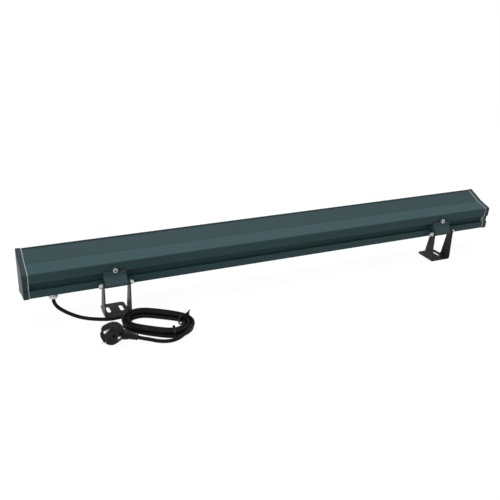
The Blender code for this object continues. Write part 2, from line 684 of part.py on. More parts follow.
def make_wires(tilt_axis):
    inner = gland_frame(-15.5 * MM)
    case_end = DRIVER_X[0]
    ends = {
        "wire_live": (1.9 * MM, -1.2 * MM, 2 * MM, [
            (-330 * MM, 20 * MM, -4 * MM), (-250 * MM, DRIVER_WIRE_U, -5 * MM),
            (case_end - 12 * MM, DRIVER_WIRE_U, -4.5 * MM), (case_end + 12 * MM, DRIVER_WIRE_U, -4.5 * MM)]),
        "wire_neutral": (-1.9 * MM, -1.2 * MM, 2 * MM, [
            (-330 * MM, 20 * MM, 7 * MM), (-250 * MM, DRIVER_WIRE_U, 5 * MM),
            (case_end - 12 * MM, DRIVER_WIRE_U, 4.5 * MM), (case_end + 12 * MM, DRIVER_WIRE_U, 4.5 * MM)]),
        "wire_earth": (0.0, 2.0 * MM, -1 * MM, [
            (-412 * MM, 15 * MM, -10 * MM), (-398 * MM, 14.5 * MM, -6 * MM), (EARTH_X - 2.4 * MM, 14.4 * MM, -3.6 * MM)]),
    }
    for name, (along, up, shift, rest) in ends.items():
        start = inner @ Vector((along, up, 0.0))
        rise = inner @ Vector((along * 1.1, up * 1.1, -5 * MM))
        turn = (GLAND_X + 14 * MM, start.y + shift, rest[0][2] * 0.6 - 5 * MM)
        wire = sweep([tuple(start), tuple(rise), turn, *rest], ring_points((0, 0), 1.0 * MM, 6), side=(0.1, 1.0, 0.15))
        bar_object(name, wire, "wire_brown", tilt_axis, smooth=True)

    head = [(3.8 * MM, 0), (3.8 * MM, 2 * MM), (3 * MM, 2.6 * MM), (0, 2.6 * MM)]
    eye = turned(
        [(0, -4.2 * MM), (1.9 * MM, -4.2 * MM), (1.9 * MM, 0), *head],
        12, frame_at((EARTH_X + 3 * MM, CHAMBER_BACK + 4.4 * MM, 0), (0, 1, 0)),
    )
    bar_object("earth_screw", eye, "zinc", tilt_axis, smooth=True)

    flat = [(-0.8 * MM, -1.7 * MM), (0.8 * MM, -1.7 * MM), (0.8 * MM, 1.7 * MM), (-0.8 * MM, 1.7 * MM)]
    route = [
        (case_end + 8 * MM, DRIVER_WIRE_U, LED_LEAD_V), (case_end - 4 * MM, DRIVER_WIRE_U, LED_LEAD_V),
        (case_end - 12 * MM, 25.6 * MM, 16 * MM), (case_end - 18 * MM, 29.2 * MM, 20.6 * MM),
        (GROMMET_X, 33.6 * MM, GROMMET_V), (GROMMET_X, 39.8 * MM, GROMMET_V),
        (GROMMET_X - 2 * MM, 43.2 * MM, 20.6 * MM), (GROMMET_X - 6 * MM, 43.0 * MM, 16 * MM),
    ]
    lead = sweep(route, flat, 4 * MM)
    bar_object("led_lead", lead, "wire_red", tilt_axis)
    profile = [
        (2.5 * MM, WEB_BACK - 1.4 * MM), (4.0 * MM, WEB_BACK - 1.4 * MM), (4.0 * MM, WEB_BACK - GAP),
        (3.3 * MM, WEB_BACK - GAP), (3.3 * MM, WEB_FRONT + GAP), (3.9 * MM, WEB_FRONT + GAP),
        (3.9 * MM, WEB_FRONT + 1.4 * MM), (2.5 * MM, WEB_FRONT + 1.4 * MM),
    ]
    grommet = turned(profile, 12, frame_at((GROMMET_X, 0, GROMMET_V), (0, 1, 0)))
    bar_object("wire_grommet", grommet, "black_seal", tilt_axis, smooth=True)


# Cable gland

def hexagon(radius, low, high, matrix, into=None):
    profile = [(0.0, low), (radius, low), (radius, high), (0.0, high)]
    return turned(profile, 6, matrix, into)


def make_gland(tilt_axis):
    place = gland_frame()
    bore = turned([(0, -20 * MM), (3.85 * MM, -20 * MM), (3.85 * MM, 20 * MM), (0, 20 * MM)], 12, place)
    bore_cutter = bar_cutter("cut_gland_bore", bore, tilt_axis)

    body = turned([(0, -7 * MM), (6.0 * MM, -7 * MM), (6.0 * MM, 7.6 * MM), (0, 7.6 * MM)], 12, place)
    body_object = bar_object("gland_body", body, "zinc", tilt_axis)
    flange = bar_cutter("gland_flange", hexagon(8.6 * MM, 1.5 * MM, 4.8 * MM, place), tilt_axis)
    combine(body_object, "UNION", flange)
    combine(body_object, "DIFFERENCE", bore_cutter)

    washer = turned([(6.4 * MM, 0.3 * MM), (8.0 * MM, 0.3 * MM), (8.0 * MM, 1.2 * MM), (6.4 * MM, 1.2 * MM)], 16, place)
    bar_object("gland_washer", washer, "black_seal", tilt_axis)

    inside = -WALL * 1.04
    locknut = bar_object(
        "gland_locknut", hexagon(8.4 * MM, inside - 3.3 * MM, inside - 0.45 * MM, place), "zinc", tilt_axis
    )
    thread = turned([(0, -20 * MM), (6.35 * MM, -20 * MM), (6.35 * MM, 20 * MM), (0, 20 * MM)], 12, place)
    combine(locknut, "DIFFERENCE", bar_cutter("cut_gland_thread", thread, tilt_axis))

    seal = turned([(3.75 * MM, 7.9 * MM), (6.0 * MM, 7.9 * MM), (5.6 * MM, 9.2 * MM), (3.75 * MM, 9.2 * MM)], 12, place)
    bar_object("gland_seal", seal, "black_seal", tilt_axis)

    nut = turned(
        [
            (0, 5.1 * MM), (8.1 * MM, 5.1 * MM), (8.1 * MM, 8.6 * MM), (7.2 * MM, 10.2 * MM),
            (5.4 * MM, 11.0 * MM), (0, 11.0 * MM),
        ],
        8, place,
    )
    nut_object = bar_object("gland_nut", nut, "zinc", tilt_axis)
    cavity = turned([(0, 3 * MM), (6.45 * MM, 3 * MM), (6.45 * MM, 9.5 * MM), (0, 9.5 * MM)], 12, place)
    combine(nut_object, "DIFFERENCE", bar_cutter("cut_gland_cavity", cavity, tilt_axis))
    combine(nut_object, "DIFFERENCE", bore_cutter)


# Clamps and feet

def saddle_outline():
    """Side view of a clamp in (u, v): T foot in the channel, flange, slanted face, knuckle."""
    pivot = Vector((-BACK_OFFSET, -CENTRE_RISE))
    fold = Vector(SADDLE_FOLD)
    reach = (pivot - fold).length
    tangent = math.degrees(math.atan2(fold.y - pivot.y, fold.x - pivot.x) + math.acos(KNUCKLE / reach))
    knuckle = arc(pivot, KNUCKLE, -62, tangent - 360, 7)
    slot = SLOT_HALF - 0.4 * MM
    wing = SLOT_WING - 0.4 * MM
    top, low = SLOT_SHIFT + slot, SLOT_SHIFT - slot
    head, heel = SLOT_SHIFT + wing, SLOT_SHIFT - wing
    return [
        (6.8 * MM, head), (3.0 * MM, head), (3.0 * MM, top), (-0.35 * MM, top), (-0.35 * MM, SADDLE_TOP),
        (-3.4 * MM, SADDLE_TOP), tuple(fold), *reversed(knuckle),
        (-0.35 * MM, -16.5 * MM), (-0.35 * MM, low), (3.0 * MM, low), (3.0 * MM, heel), (6.8 * MM, heel),
    ]


def clamp_object(name, bm, slot, axis_empty, smooth=False):
    bmesh.ops.translate(bm, vec=(0, BACK_OFFSET, CENTRE_RISE), verts=bm.verts)
    return add_object(name, bm, slot, axis_empty, smooth)


def make_clamp(side, axis_empty):
    """Clamp saddle, lock screw, pivot bolts and washers, drawn round x = 0 of the empty."""
    block = prism(saddle_outline(), -SADDLE_HALF, SADDLE_HALF)
    saddle = clamp_object(f"clamp_saddle_{side}", block, "housing_coat", axis_empty)
    ear = rod((0, EAR_FACE, LOCK_SCREW_V), (0, -0.6 * MM, LOCK_SCREW_V), EAR_RADIUS, 20)
    bmesh.ops.translate(ear, vec=(0, BACK_OFFSET, CENTRE_RISE), verts=ear.verts)
    combine(saddle, "UNION", add_cutter(f"clamp_ear_{side}", ear, axis_empty))
    spacer = rod((-FOOT_HALF + FOOT_THICK + 0.4 * MM, 0, 0), (FOOT_HALF - FOOT_THICK - 0.4 * MM, 0, 0), 4.6 * MM, 16)
    combine(saddle, "UNION", add_cutter(f"clamp_spacer_{side}", spacer, axis_empty))
    bores = rod((0, -8 * MM, LOCK_SCREW_V), (0, 1.2 * MM, LOCK_SCREW_V), BOLT_BORE, 12)
    rod((-30 * MM, -BACK_OFFSET, -CENTRE_RISE), (30 * MM, -BACK_OFFSET, -CENTRE_RISE), BOLT_BORE, 12, bores)
    bmesh.ops.translate(bores, vec=(0, BACK_OFFSET, CENTRE_RISE), verts=bores.verts)
    combine(saddle, "DIFFERENCE", add_cutter(f"cut_clamp_bores_{side}", bores, axis_empty))

    seat = (0, EAR_FACE - GAP, LOCK_SCREW_V)
    screw = socket_screw(seat, (0, -1, 0), LOCK_HEAD[0], LOCK_HEAD[1], BOLT_RADIUS, -EAR_FACE - 0.05 * MM)
    clamp_object(f"lock_screw_{side}", screw, "zinc", axis_empty, smooth=True)

    seat_x = FOOT_HALF + GAP
    for end, sign in (("outer", OUTER_SIDE[side]), ("inner", -OUTER_SIDE[side])):
        place = frame_at((sign * seat_x, 0, 0), (sign, 0, 0), (0, 0, 1))
        shank = [
            (0.0, -18 * MM), (BOLT_RADIUS, -18 * MM), (BOLT_RADIUS, 0.0), (WASHER[0], 0.0), (WASHER[0], WASHER[1]),
            (BOLT_HEAD[0] * 0.8, WASHER[1]), (BOLT_HEAD[0] * 0.8, WASHER[1] + 1 * MM), (0.0, WASHER[1] + 1 * MM),
        ]
        bolt = add_object(f"pivot_bolt_{side}_{end}", turned(shank, 12, place), "zinc", axis_empty)
        head = hexagon(BOLT_HEAD[0], WASHER[1] - 0.5 * MM, WASHER[1] + BOLT_HEAD[1], place)
        combine(bolt, "UNION", add_cutter(f"bolt_head_{side}_{end}", head, axis_empty))


def foot_strip():
    """U strip seen along Y: two legs and a plate with bent corners."""
    floor = -PIVOT_Z
    half, thick, bend = FOOT_HALF, FOOT_THICK, FOOT_BEND
    top = LEG_RADIUS + 2 * MM
    right_out = arc((half - bend, floor + bend), bend, 0, -90, 4)
    right_in = arc((half - bend, floor + bend), bend - thick, -90, 0, 4)
    side = [(half, top), *right_out]
    inner = [*right_in, (half - thick, top)]
    left_side = [(-x, z) for x, z in reversed(side)]
    left_inner = [(-x, z) for x, z in reversed(inner)]
    return prism([*side, *left_side, *left_inner, *inner], -LEG_RADIUS - 2 * MM, TONGUE_Y + 2 * MM, axis="Y")


def make_foot(side, axis_empty):
    """Bent steel foot, drawn from the pivot, with two slots in its plate."""
    floor = -PIVOT_Z
    foot = add_object(f"foot_{side}", foot_strip(), "foot_coat", axis_empty)
    plate_top = floor + FOOT_THICK
    side_view = [
        (-LEG_RADIUS, floor - 2 * MM), *arc((0, 0), LEG_RADIUS, 180, 0, 12),
        (LEG_FOOT_Y, plate_top + 2.0 * MM), (LEG_FOOT_Y + 1.5 * MM, plate_top),
        (TONGUE_Y + 4 * MM, plate_top), (TONGUE_Y + 4 * MM, floor - 2 * MM),
    ]
    legs = prism(side_view, -FOOT_HALF - 3 * MM, FOOT_HALF + 3 * MM)
    combine(foot, "INTERSECT", add_cutter(f"foot_side_{side}", legs, axis_empty))
    out = FOOT_HALF + 2 * MM
    near = -LEG_RADIUS - 4 * MM
    wide = FOOT_HALF - 2.4 * MM
    corner = arc((wide - TONGUE_ROUND, TONGUE_Y - TONGUE_ROUND), TONGUE_ROUND, 0, 90, 4)
    half_plan = [(out, near), (out, LEG_FOOT_Y + 2.5 * MM), (wide, LEG_FOOT_Y + 4.0 * MM), *corner]
    plan = [*half_plan, *[(-x, y) for x, y in reversed(half_plan)]]
    combine(foot, "INTERSECT", add_cutter(f"foot_plan_{side}", prism(plan, floor - 4 * MM, 14 * MM, axis="Z"), axis_empty))
    cuts = bmesh.new()
    width, length = FOOT_SLOT
    reach = (length - width) / 2
    for x in (-FOOT_SLOT_X, FOOT_SLOT_X):
        ends = [
            *arc((x, FOOT_SLOT_Y + reach), width / 2, 0, 180, 6),
            *arc((x, FOOT_SLOT_Y - reach), width / 2, 180, 360, 6),
        ]
        prism(ends, floor - 3 * MM, plate_top + 3 * MM, axis="Z", into=cuts)
    rod((-FOOT_HALF - 4 * MM, 0, 0), (FOOT_HALF + 4 * MM, 0, 0), BOLT_BORE, 12, cuts)
    combine(foot, "DIFFERENCE", add_cutter(f"cut_foot_{side}", cuts, axis_empty))


# Lead

def coil_point(turn):
    """Centre of the cord after a number of turns: an oval spiral, in, up a layer and out."""
    angle = COIL_ENTRY - math.tau * turn
    climb = min(max((turn - CLIMB_START) / CLIMB_TURNS, 0.0), 1.0)
    if turn < CLIMB_START:
        lanes = turn
    elif climb < 1.0:
        past = turn - CLIMB_START
        lanes = CLIMB_START + past - past ** 2 / CLIMB_TURNS
    else:
        lanes = CLIMB_START - (turn - CLIMB_START - CLIMB_TURNS)
    radius = COIL_RADIUS - LANE * lanes
    push = COIL_STRAIGHT * math.tanh(COIL_FLATNESS * math.cos(angle)) / math.tanh(COIL_FLATNESS)
    a = push + radius * math.cos(angle)
    b = radius * math.sin(angle)
    cos, sin = math.cos(COIL_TURN), math.sin(COIL_TURN)
    height = COIL_Z + LANE * climb * climb * (3 - 2 * climb)
    return Vector((COIL_CENTRE[0] + a * cos - b * sin, COIL_CENTRE[1] + a * sin + b * cos, height))


def coil_direction(turn):
    return (coil_point(turn + 0.001) - coil_point(turn - 0.001)).normalized()


def coil_points():
    count = round(COIL_TURNS * COIL_POINTS_PER_TURN)
    loops = [coil_point(n / COIL_POINTS_PER_TURN) for n in range(count + 1)]
    first = loops[0] - level(coil_direction(0.0)) * 2 * CORD_RADIUS
    last = loops[-1] + level(coil_direction(COIL_TURNS)) * 2 * CORD_RADIUS
    return [first, *loops, last]


def level(direction):
    return Vector((direction.x, direction.y, 0.0)).normalized()


def least_gap(points, radius):
    """Smallest clear space between parts of one tube that are over four diameters apart along it."""
    fine = []
    for before, after in zip(points, points[1:]):
        fine += [before.lerp(after, k / 6) for k in range(6)]
    walked = [0.0]
    for before, after in zip(fine, fine[1:]):
        walked.append(walked[-1] + (after - before).length)
    least = 1.0
    for n, here in enumerate(fine):
        for m in range(n + 1, len(fine)):
            if walked[m] - walked[n] > 8 * radius:
                least = min(least, (fine[m] - here).length)
    return least - 2 * radius


def plug_frame():
    """Plug axes: +Z the way the pins point, +X towards the cord."""
    return frame_at(PLUG_CENTRE, PLUG_FACING, PLUG_EXIT)


def neck_frame(along):
    """Frame on the plug's neck, which leans back from the face, +Z towards the cord."""
    out = Vector(PLUG_EXIT).normalized()
    return frame_at(plug_frame() @ Vector(NECK_ROOT) + out * along, out, PLUG_FACING)


def make_cord():
    coil = coil_points()
    tube("cord_coil", coil, CORD_RADIUS, "cord_black")
    print("coil: least gap to itself %.2f mm" % (least_gap(coil, CORD_RADIUS) / MM))

    exit_frame = Matrix.Translation(in_world((0, 0, 0))) @ Matrix.Rotation(REST_TILT, 4, "X") @ gland_frame()
    start = exit_frame @ Vector((0, 0, -14 * MM))
    straight = exit_frame @ Vector((0, 0, GLAND_EXIT + 1.5 * CORD_RADIUS))
    entry = coil[0] - (coil[1] - coil[0]).normalized() * GAP
    before = entry - (coil[1] - coil[0]).normalized() * 2 * CORD_RADIUS
    lead = smooth_route([start, straight, *LEAD_ROUTE[1:], before, entry], CORD_POINT_STEP)
    tube("cord_lead", lead, CORD_RADIUS, "cord_black", resolution=2)

    out = (coil[-1] - coil[-2]).normalized()
    leave = coil[-1] + out * GAP
    sleeve_end = neck_frame(SLEEVE_END + GAP).translation
    sleeve_out = neck_frame(SLEEVE_END + GAP + 2 * CORD_RADIUS).translation
    tail = smooth_route([leave, leave + out * 2 * CORD_RADIUS, *TAIL_ROUTE, sleeve_out, sleeve_end], CORD_POINT_STEP)
    tube("cord_tail", tail, CORD_RADIUS, "cord_black", resolution=2)
    total = 0.0
    for run in (lead, coil, tail):
        total += sum((b - a).length for a, b in zip(run, run[1:]))
    print("lead: %.0f mm from the gland to the plug" % (total / MM))


def make_ties():
    """Two thin ties round the coil's bundle, one with its tail left on."""
    for n, angle in enumerate(TIE_ANGLES):
        first = (COIL_ENTRY - angle) / math.tau
        turns = [first + k for k in range(6) if first + k <= COIL_TURNS]
        middle = coil_point(turns[0])
        along = level(coil_direction(turns[0]))
        across = Vector((0, 0, 1)).cross(along)
        offsets = [(coil_point(t) - middle).dot(across) for t in turns]
        heights = [coil_point(t).z for t in turns]
        clear = CORD_RADIUS + 0.3 * MM
        low, high = min(offsets) - clear - 0.5 * MM, max(offsets) + clear + 0.5 * MM
        bottom, top = COIL_Z - clear, max(heights) + clear + 0.1 * MM
        hole = [(low, bottom), (high, bottom), (high, top), (low, top)]
        t = TIE_THICK
        if n == 0:
            outline = [
                (low - t, bottom - t), (high + t, bottom - t), (high + t, top - 1.0 * MM),
                (high + 5.5 * MM, top + 4.9 * MM), (high + 5 * MM, top + 5.5 * MM), (high - 3.2 * MM, top + t),
                (low - t, top + t),
            ]
        else:
            outline = [(low - t, bottom - t), (high + t, bottom - t), (high + t, top + t), (low - t, top + t)]
        bm = prism(outline, -TIE_WIDTH / 2, TIE_WIDTH / 2, [hole])
        turn = Matrix((along, across, (0, 0, 1))).transposed().to_4x4()
        base = Matrix.Translation(Vector((middle.x, middle.y, 0.0))) @ turn
        bmesh.ops.transform(bm, matrix=base, verts=bm.verts)
        add_object(f"cord_tie_{n + 1}", bm, "cord_black")


def make_plug():
    place = plug_frame()
    back = -PLUG_FACE - 2 * MM
    profile = [
        (0.0, back), (10 * MM, back), (15.6 * MM, back + 3.4 * MM), (PLUG_RADIUS - 0.5 * MM, back + 9 * MM),
        (PLUG_RADIUS, 2 * MM), (PLUG_RADIUS, PLUG_FACE - 1.2 * MM), (PLUG_RADIUS - 1.2 * MM, PLUG_FACE),
        (0.0, PLUG_FACE),
    ]
    body = add_object("plug_body", turned(profile, 24, place), "cord_black")
    neck = turned([(0, 0), (9.2 * MM, 0), (7.8 * MM, NECK_LENGTH), (0, NECK_LENGTH)], 14, neck_frame(0.0))
    combine(body, "UNION", add_cutter("plug_neck", neck))

    ribs = 5
    start = NECK_LENGTH - 5 * MM
    pitch = (SLEEVE_END - start) / ribs
    outline = [(0.0, 0.0)]
    for n in range(ribs):
        wide = 7.2 * MM - n * 0.45 * MM
        outline += [(wide, n * pitch), (wide, (n + 0.55) * pitch), (wide - 1.0 * MM, (n + 0.6) * pitch)]
        outline += [(wide - 1.0 * MM, (n + 0.95) * pitch)]
    outline += [(outline[-1][0], ribs * pitch), (0.0, ribs * pitch)]
    combine(body, "UNION", add_cutter("plug_relief", turned(outline, 12, neck_frame(start))))

    cuts = bmesh.new()
    arm = PLUG_RADIUS - 2.6 * MM
    for side in (-1, 1):
        rod(place @ Vector((0, side * PIN_SPACING / 2, PLUG_FACE - 6 * MM)),
            place @ Vector((0, side * PIN_SPACING / 2, PLUG_FACE + 4 * MM)), PIN_RADIUS + 0.3 * MM, 12, cuts)
        notch = box((arm, -3.2 * MM, 0.6 * MM), (PLUG_RADIUS + 3 * MM, 3.2 * MM, PLUG_FACE + 3 * MM))
        bmesh.ops.transform(notch, matrix=place @ Matrix.Diagonal((side, side, 1, 1)), verts=notch.verts)
        add_into(cuts, notch)
    sink = [place @ Vector((8.5 * MM, 0, PLUG_FACE + depth)) for depth in (-5 * MM, 3 * MM)]
    rod(*sink, 2.6 * MM, 12, cuts)
    combine(body, "DIFFERENCE", add_cutter("cut_plug_face", cuts))
    channel = box((-arm - 0.5 * MM, -2.5 * MM, 0.7 * MM), (arm + 0.5 * MM, 2.5 * MM, 2.7 * MM))
    bmesh.ops.transform(channel, matrix=place, verts=channel.verts)
    combine(body, "DIFFERENCE", add_cutter("cut_plug_channel", channel))

    for side, pole in ((-1, "lower"), (1, "upper")):
        foot = place @ Vector((0, side * PIN_SPACING / 2, PLUG_FACE - 5.7 * MM))
        length = PIN_LENGTH + 5.7 * MM
        pin = [
            (0, 0), (PIN_RADIUS, 0), (PIN_RADIUS, length - 1.6 * MM), (PIN_RADIUS * 0.55, length), (0, length),
        ]
        add_object(f"plug_pin_{pole}", turned(pin, 12, frame_at(foot, PLUG_FACING)), "zinc", smooth=True)
    arm += 0.3 * MM
    strip = prism(
        [
            (-arm - 1.2 * MM, PLUG_FACE - 0.3 * MM), (-arm - 1.2 * MM, 1.0 * MM), (arm + 1.2 * MM, 1.0 * MM),
            (arm + 1.2 * MM, PLUG_FACE - 0.3 * MM), (arm, PLUG_FACE - 0.3 * MM), (arm, 2.2 * MM),
            (-arm, 2.2 * MM), (-arm, PLUG_FACE - 0.3 * MM),
        ],
        -2.0 * MM, 2.0 * MM, axis="Y",
    )
    bmesh.ops.transform(strip, matrix=place, verts=strip.verts)
    add_object("plug_earth_strip", strip, "zinc")


def main():
    clear_scene()
    tilt_axis = add_empty("tilt_axis", (0, PIVOT_Y, PIVOT_Z), REST_TILT)
    left_clamp = add_empty("left_clamp_axis", (LEFT_X, PIVOT_Y, PIVOT_Z), REST_TILT)
    right_clamp = add_empty("right_clamp_axis", (RIGHT_X, PIVOT_Y, PIVOT_Z), REST_TILT)
    left_foot = add_empty("left_foot_axis", (LEFT_X, PIVOT_Y, PIVOT_Z))
    right_foot = add_empty("right_foot_axis", (RIGHT_X, PIVOT_Y, PIVOT_Z))
    make_housing(tilt_axis)
    for side in (-1, 1):
        make_end(side, tilt_axis)
    make_glass(tilt_axis)
    make_rails(tilt_axis)
    for n in range(BOARD_COUNT):
        make_board(n, tilt_axis)
    make_driver(tilt_axis)
    make_wires(tilt_axis)
    make_gland(tilt_axis)
    make_clamp("left", left_clamp)
    make_clamp("right", right_clamp)
    make_foot("left", left_foot)
    make_foot("right", right_foot)
    make_cord()
    make_ties()
    make_plug()


main()
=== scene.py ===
import math
import bmesh
import bpy
from mathutils import Matrix, Vector


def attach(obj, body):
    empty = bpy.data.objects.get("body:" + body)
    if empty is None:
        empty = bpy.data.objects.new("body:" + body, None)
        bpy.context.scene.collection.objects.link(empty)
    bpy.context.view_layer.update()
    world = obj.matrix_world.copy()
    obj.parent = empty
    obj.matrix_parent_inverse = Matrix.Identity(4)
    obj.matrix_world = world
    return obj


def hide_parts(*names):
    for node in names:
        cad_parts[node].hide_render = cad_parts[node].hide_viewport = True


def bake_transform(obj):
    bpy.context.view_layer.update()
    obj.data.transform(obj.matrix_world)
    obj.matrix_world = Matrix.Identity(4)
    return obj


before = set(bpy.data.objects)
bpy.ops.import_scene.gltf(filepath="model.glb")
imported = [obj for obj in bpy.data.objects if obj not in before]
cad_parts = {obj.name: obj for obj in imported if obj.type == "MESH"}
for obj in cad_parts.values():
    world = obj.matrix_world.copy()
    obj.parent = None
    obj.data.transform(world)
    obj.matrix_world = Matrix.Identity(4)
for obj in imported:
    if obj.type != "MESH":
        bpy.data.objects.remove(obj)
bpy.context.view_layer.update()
mm = 0.001


def millimetres(values):
    # lengths written in millimetres, in a dictionary or list; a word stays as it is
    if isinstance(values, dict):
        return {key: millimetres(value) for key, value in values.items()}
    if isinstance(values, (list, tuple)):
        return [millimetres(value) for value in values]
    return values if isinstance(values, str) else values * mm


def placed(name, data):
    made = bpy.data.objects.new(name, data)
    bpy.context.scene.collection.objects.link(made)
    return made


# Camera, light and floor

view = {
    "cameraPlace": (-594.2 * mm, -1143.2 * mm, 607.7 * mm),
    "pitch": 66.95,
    "turn": -24.73,
    "roll": 1.68,
    "lens": 50.32,
    "floorSize": 12.0,
    "floorColour": (0.45, 0.45, 0.45, 1),
    "floorGlow": 0.75,
    "glowStrength": 1.25,
    "skyColour": (1.0, 1.0, 1.0, 1),
    "skyStrength": 0.45,
    "topLamp": (0.25, 0.50, 1.9, 1.9, 17.0),
    "sideLamp": (-2.4, -1.1, 0.9, 1.0, 18.0),
    "backLamp": (0.4, -1.7, 1.7, 0.8, 4.5),
    "lampAim": (0, -0.02, 0.06),
}


def setCamera():
    data = bpy.data.cameras.new("camera")
    data.lens = view["lens"]
    data.sensor_width = 36
    data.clip_start = 0.02
    camera = placed("camera", data)
    turn = Matrix.Rotation(math.radians(view["turn"]), 4, "Z")
    tip = Matrix.Rotation(math.radians(view["pitch"]), 4, "X")
    roll = Matrix.Rotation(math.radians(view["roll"]), 4, "Z")
    camera.matrix_world = Matrix.Translation(view["cameraPlace"]) @ turn @ tip @ roll
    bpy.context.scene.camera = camera


def addLamp(name):
    x, y, z, size, power = view[name]
    data = bpy.data.lights.new(name, "AREA")
    data.energy = power
    data.size = size
    lamp = placed(name, data)
    lamp.location = (x, y, z)
    lamp.rotation_euler = (Vector(view["lampAim"]) - Vector((x, y, z))).to_track_quat("-Z", "Y").to_euler()


# A small way to write node trees as sums

class Wire:
    def __init__(self, tree, socket):
        self.tree = tree
        self.socket = socket

    def sum(self, operation, first, second):
        return self.tree.add("ShaderNodeMath", {"operation": operation}, {0: first, 1: second})

    def __add__(self, other):
        return self.sum("ADD", self, other)

    __radd__ = __add__

    def __sub__(self, other):
        return self.sum("SUBTRACT", self, other)

    def __rsub__(self, other):
        return self.sum("SUBTRACT", other, self)

    def __mul__(self, other):
        return self.sum("MULTIPLY", self, other)

    def __rmul__(self, other):
        return self.sum("MULTIPLY", other, self)

    def __gt__(self, other):
        return self.sum("GREATER_THAN", self, other)

    def __lt__(self, other):
        return self.sum("LESS_THAN", self, other)

    def __abs__(self):
        return self.sum("ABSOLUTE", self, 0.0)

    def largest(self, other):
        return self.sum("MAXIMUM", self, other)


class NodeTree:
    def __init__(self, tree):
        self.nodes = tree.nodes
        self.links = tree.links

    def fill(self, target, value):
        if isinstance(value, Wire):
            self.links.new(value.socket, target)
        else:
            target.default_value = value

    def wired(self, node, values, output=0):
        for key, value in values.items():
            self.fill(node.inputs[key], value)
        return Wire(self, node.outputs[output])

    def add(self, kind, settings, values, output=0):
        node = self.nodes.new(kind)
        for name, value in settings.items():
            setattr(node, name, value)
        return self.wired(node, values, output)

    def whiteRays(self):
        # one for every ray that sees the backdrop: from the camera, a reflection or glass
        camera = self.add("ShaderNodeLightPath", {}, {}, "Is Camera Ray")
        gloss = self.add("ShaderNodeLightPath", {}, {}, "Is Glossy Ray")
        glass = self.add("ShaderNodeLightPath", {}, {}, "Is Transmission Ray")
        return camera.largest(gloss).largest(glass)

    def close(self, output, share, first, second):
        # two shaders mixed into the tree's output
        mixed = self.add("ShaderNodeMixShader", {}, {0: share, 1: first, 2: second})
        self.fill(self.nodes[output].inputs["Surface"], mixed)


class Paint(NodeTree):
    def __init__(self, name, **fixed):
        self.material = bpy.data.materials.new(name)
        self.material.use_nodes = True
        super().__init__(self.material.node_tree)
        self.shader = self.nodes["Principled BSDF"]
        for socket, value in fixed.items():
            self.put(socket.replace("_", " "), value)

    def put(self, name, value):
        self.fill(self.shader.inputs[name], value)

    def place(self, scale=(1, 1, 1), turn=(0, 0, 0)):
        spot = self.add("ShaderNodeTexCoord", {}, {}, "Object")
        return self.add("ShaderNodeMapping", {}, {"Vector": spot, "Scale": scale, "Rotation": turn})

    def along(self, spot, axis):
        return self.add("ShaderNodeSeparateXYZ", {}, {"Vector": spot}, axis)

    def noise(self, size, detail=3.0, scale=(1, 1, 1), rough=0.55):
        values = {"Vector": self.place(scale), "Scale": 1.0 / size, "Detail": detail, "Roughness": rough}
        return self.add("ShaderNodeTexNoise", {}, values, "Fac")

    def stretch(self, value, low, high, outLow=0.0, outHigh=1.0):
        values = {"Value": value, "From Min": low, "From Max": high, "To Min": outLow, "To Max": outHigh}
        return self.add("ShaderNodeMapRange", {"clamp": True}, values)

    def mix(self, share, first, second):
        return self.add("ShaderNodeMix", {"data_type": "RGBA"}, {"Factor": share, 6: first, 7: second}, 2)

    def bump(self, height, depth, strength):
        values = {"Height": height, "Distance": depth, "Strength": strength}
        self.put("Normal", self.add("ShaderNodeBump", {}, values))


def rgb(red, green, blue):
    return (red, green, blue, 1.0)


def shade(colour, strength, lift=0.0):
    return tuple(min(1.0, strength * c + lift) for c in colour[:3]) + (1.0,)


# Finishes

coats = {
    "housing": {
        "base": (0.028, 0.065, 0.071), "warm": (0.032, 0.064, 0.066), "rough": 0.48, "gloss": 0.15,
        # band: painted light, a brighter colour on the sides behind the fold; channel: painted shade, a
        # darker colour in the channel
        "band": 1.25, "channel": 0.85, "channelHalf": 16 * mm,
    },
    "saddle": {"base": (0.040, 0.078, 0.086), "warm": (0.044, 0.077, 0.080), "rough": 0.46, "gloss": 0.15},
    "cap": {"base": (0.022, 0.042, 0.048), "warm": (0.025, 0.041, 0.044), "rough": 0.46, "gloss": 0.2},
    "foot": {"base": (0.023, 0.031, 0.032), "warm": (0.026, 0.031, 0.030), "rough": 0.42, "gloss": 0.15},
    "rail": {"base": (0.012, 0.018, 0.021), "warm": (0.014, 0.018, 0.019), "rough": 0.40, "gloss": 0.2},
}


def powderCoat(name, tone):
    paint = Paint(name, Metallic=0.0, Specular_IOR_Level=tone["gloss"])
    base = rgb(*tone["base"])
    patches = paint.noise(0.11, 4.0, (0.35, 1, 1))
    drawn = paint.noise(0.0016, 2.0, (0.004, 1, 1))
    grain = paint.noise(0.00075, 2.0)
    colour = paint.mix(paint.stretch(patches, 0.35, 0.65), base, rgb(*tone["warm"]))
    if "band" in tone:
        # painted light and shade: the sides behind the fold are painted a little brighter than the flares,
        # where more light falls on them, and the channel is painted darker as shade in the recess
        upright = math.radians(-barAxes["tilt"])
        level = paint.place((1, 1, 1), (upright, 0, 0))
        origin = Matrix.Rotation(upright, 4, "X") @ barMatrix.translation
        across = paint.along(level, 1) - origin.y
        height = abs(paint.along(level, 2) - origin.z)
        behind = (across > 1.2 * mm) * (across < section["crease"][0])
        half = tone["channelHalf"]
        colour = paint.mix(behind * (height > half), colour, shade(base, tone["band"]))
        # painted shade: the channel's colour darkened
        colour = paint.mix(behind * (height < half), colour, shade(base, tone["channel"]))
    dust = paint.stretch(paint.noise(0.0042, 5.0, rough=0.7), 0.60, 0.74, 0.0, 0.22)
    colour = paint.mix(dust, colour, shade(base, 0.85, 0.014))
    lines = paint.stretch(drawn, 0.35, 0.65, 0.0, 0.16)
    paint.put("Base Color", paint.mix(lines, colour, shade(base, 0.55)))
    rough = tone["rough"]
    paint.put("Roughness", paint.stretch(patches, 0.3, 0.7, rough - 0.05, rough + 0.07) + 0.05 * grain)
    paint.bump(grain, 0.00012, 0.35)
    return paint.material


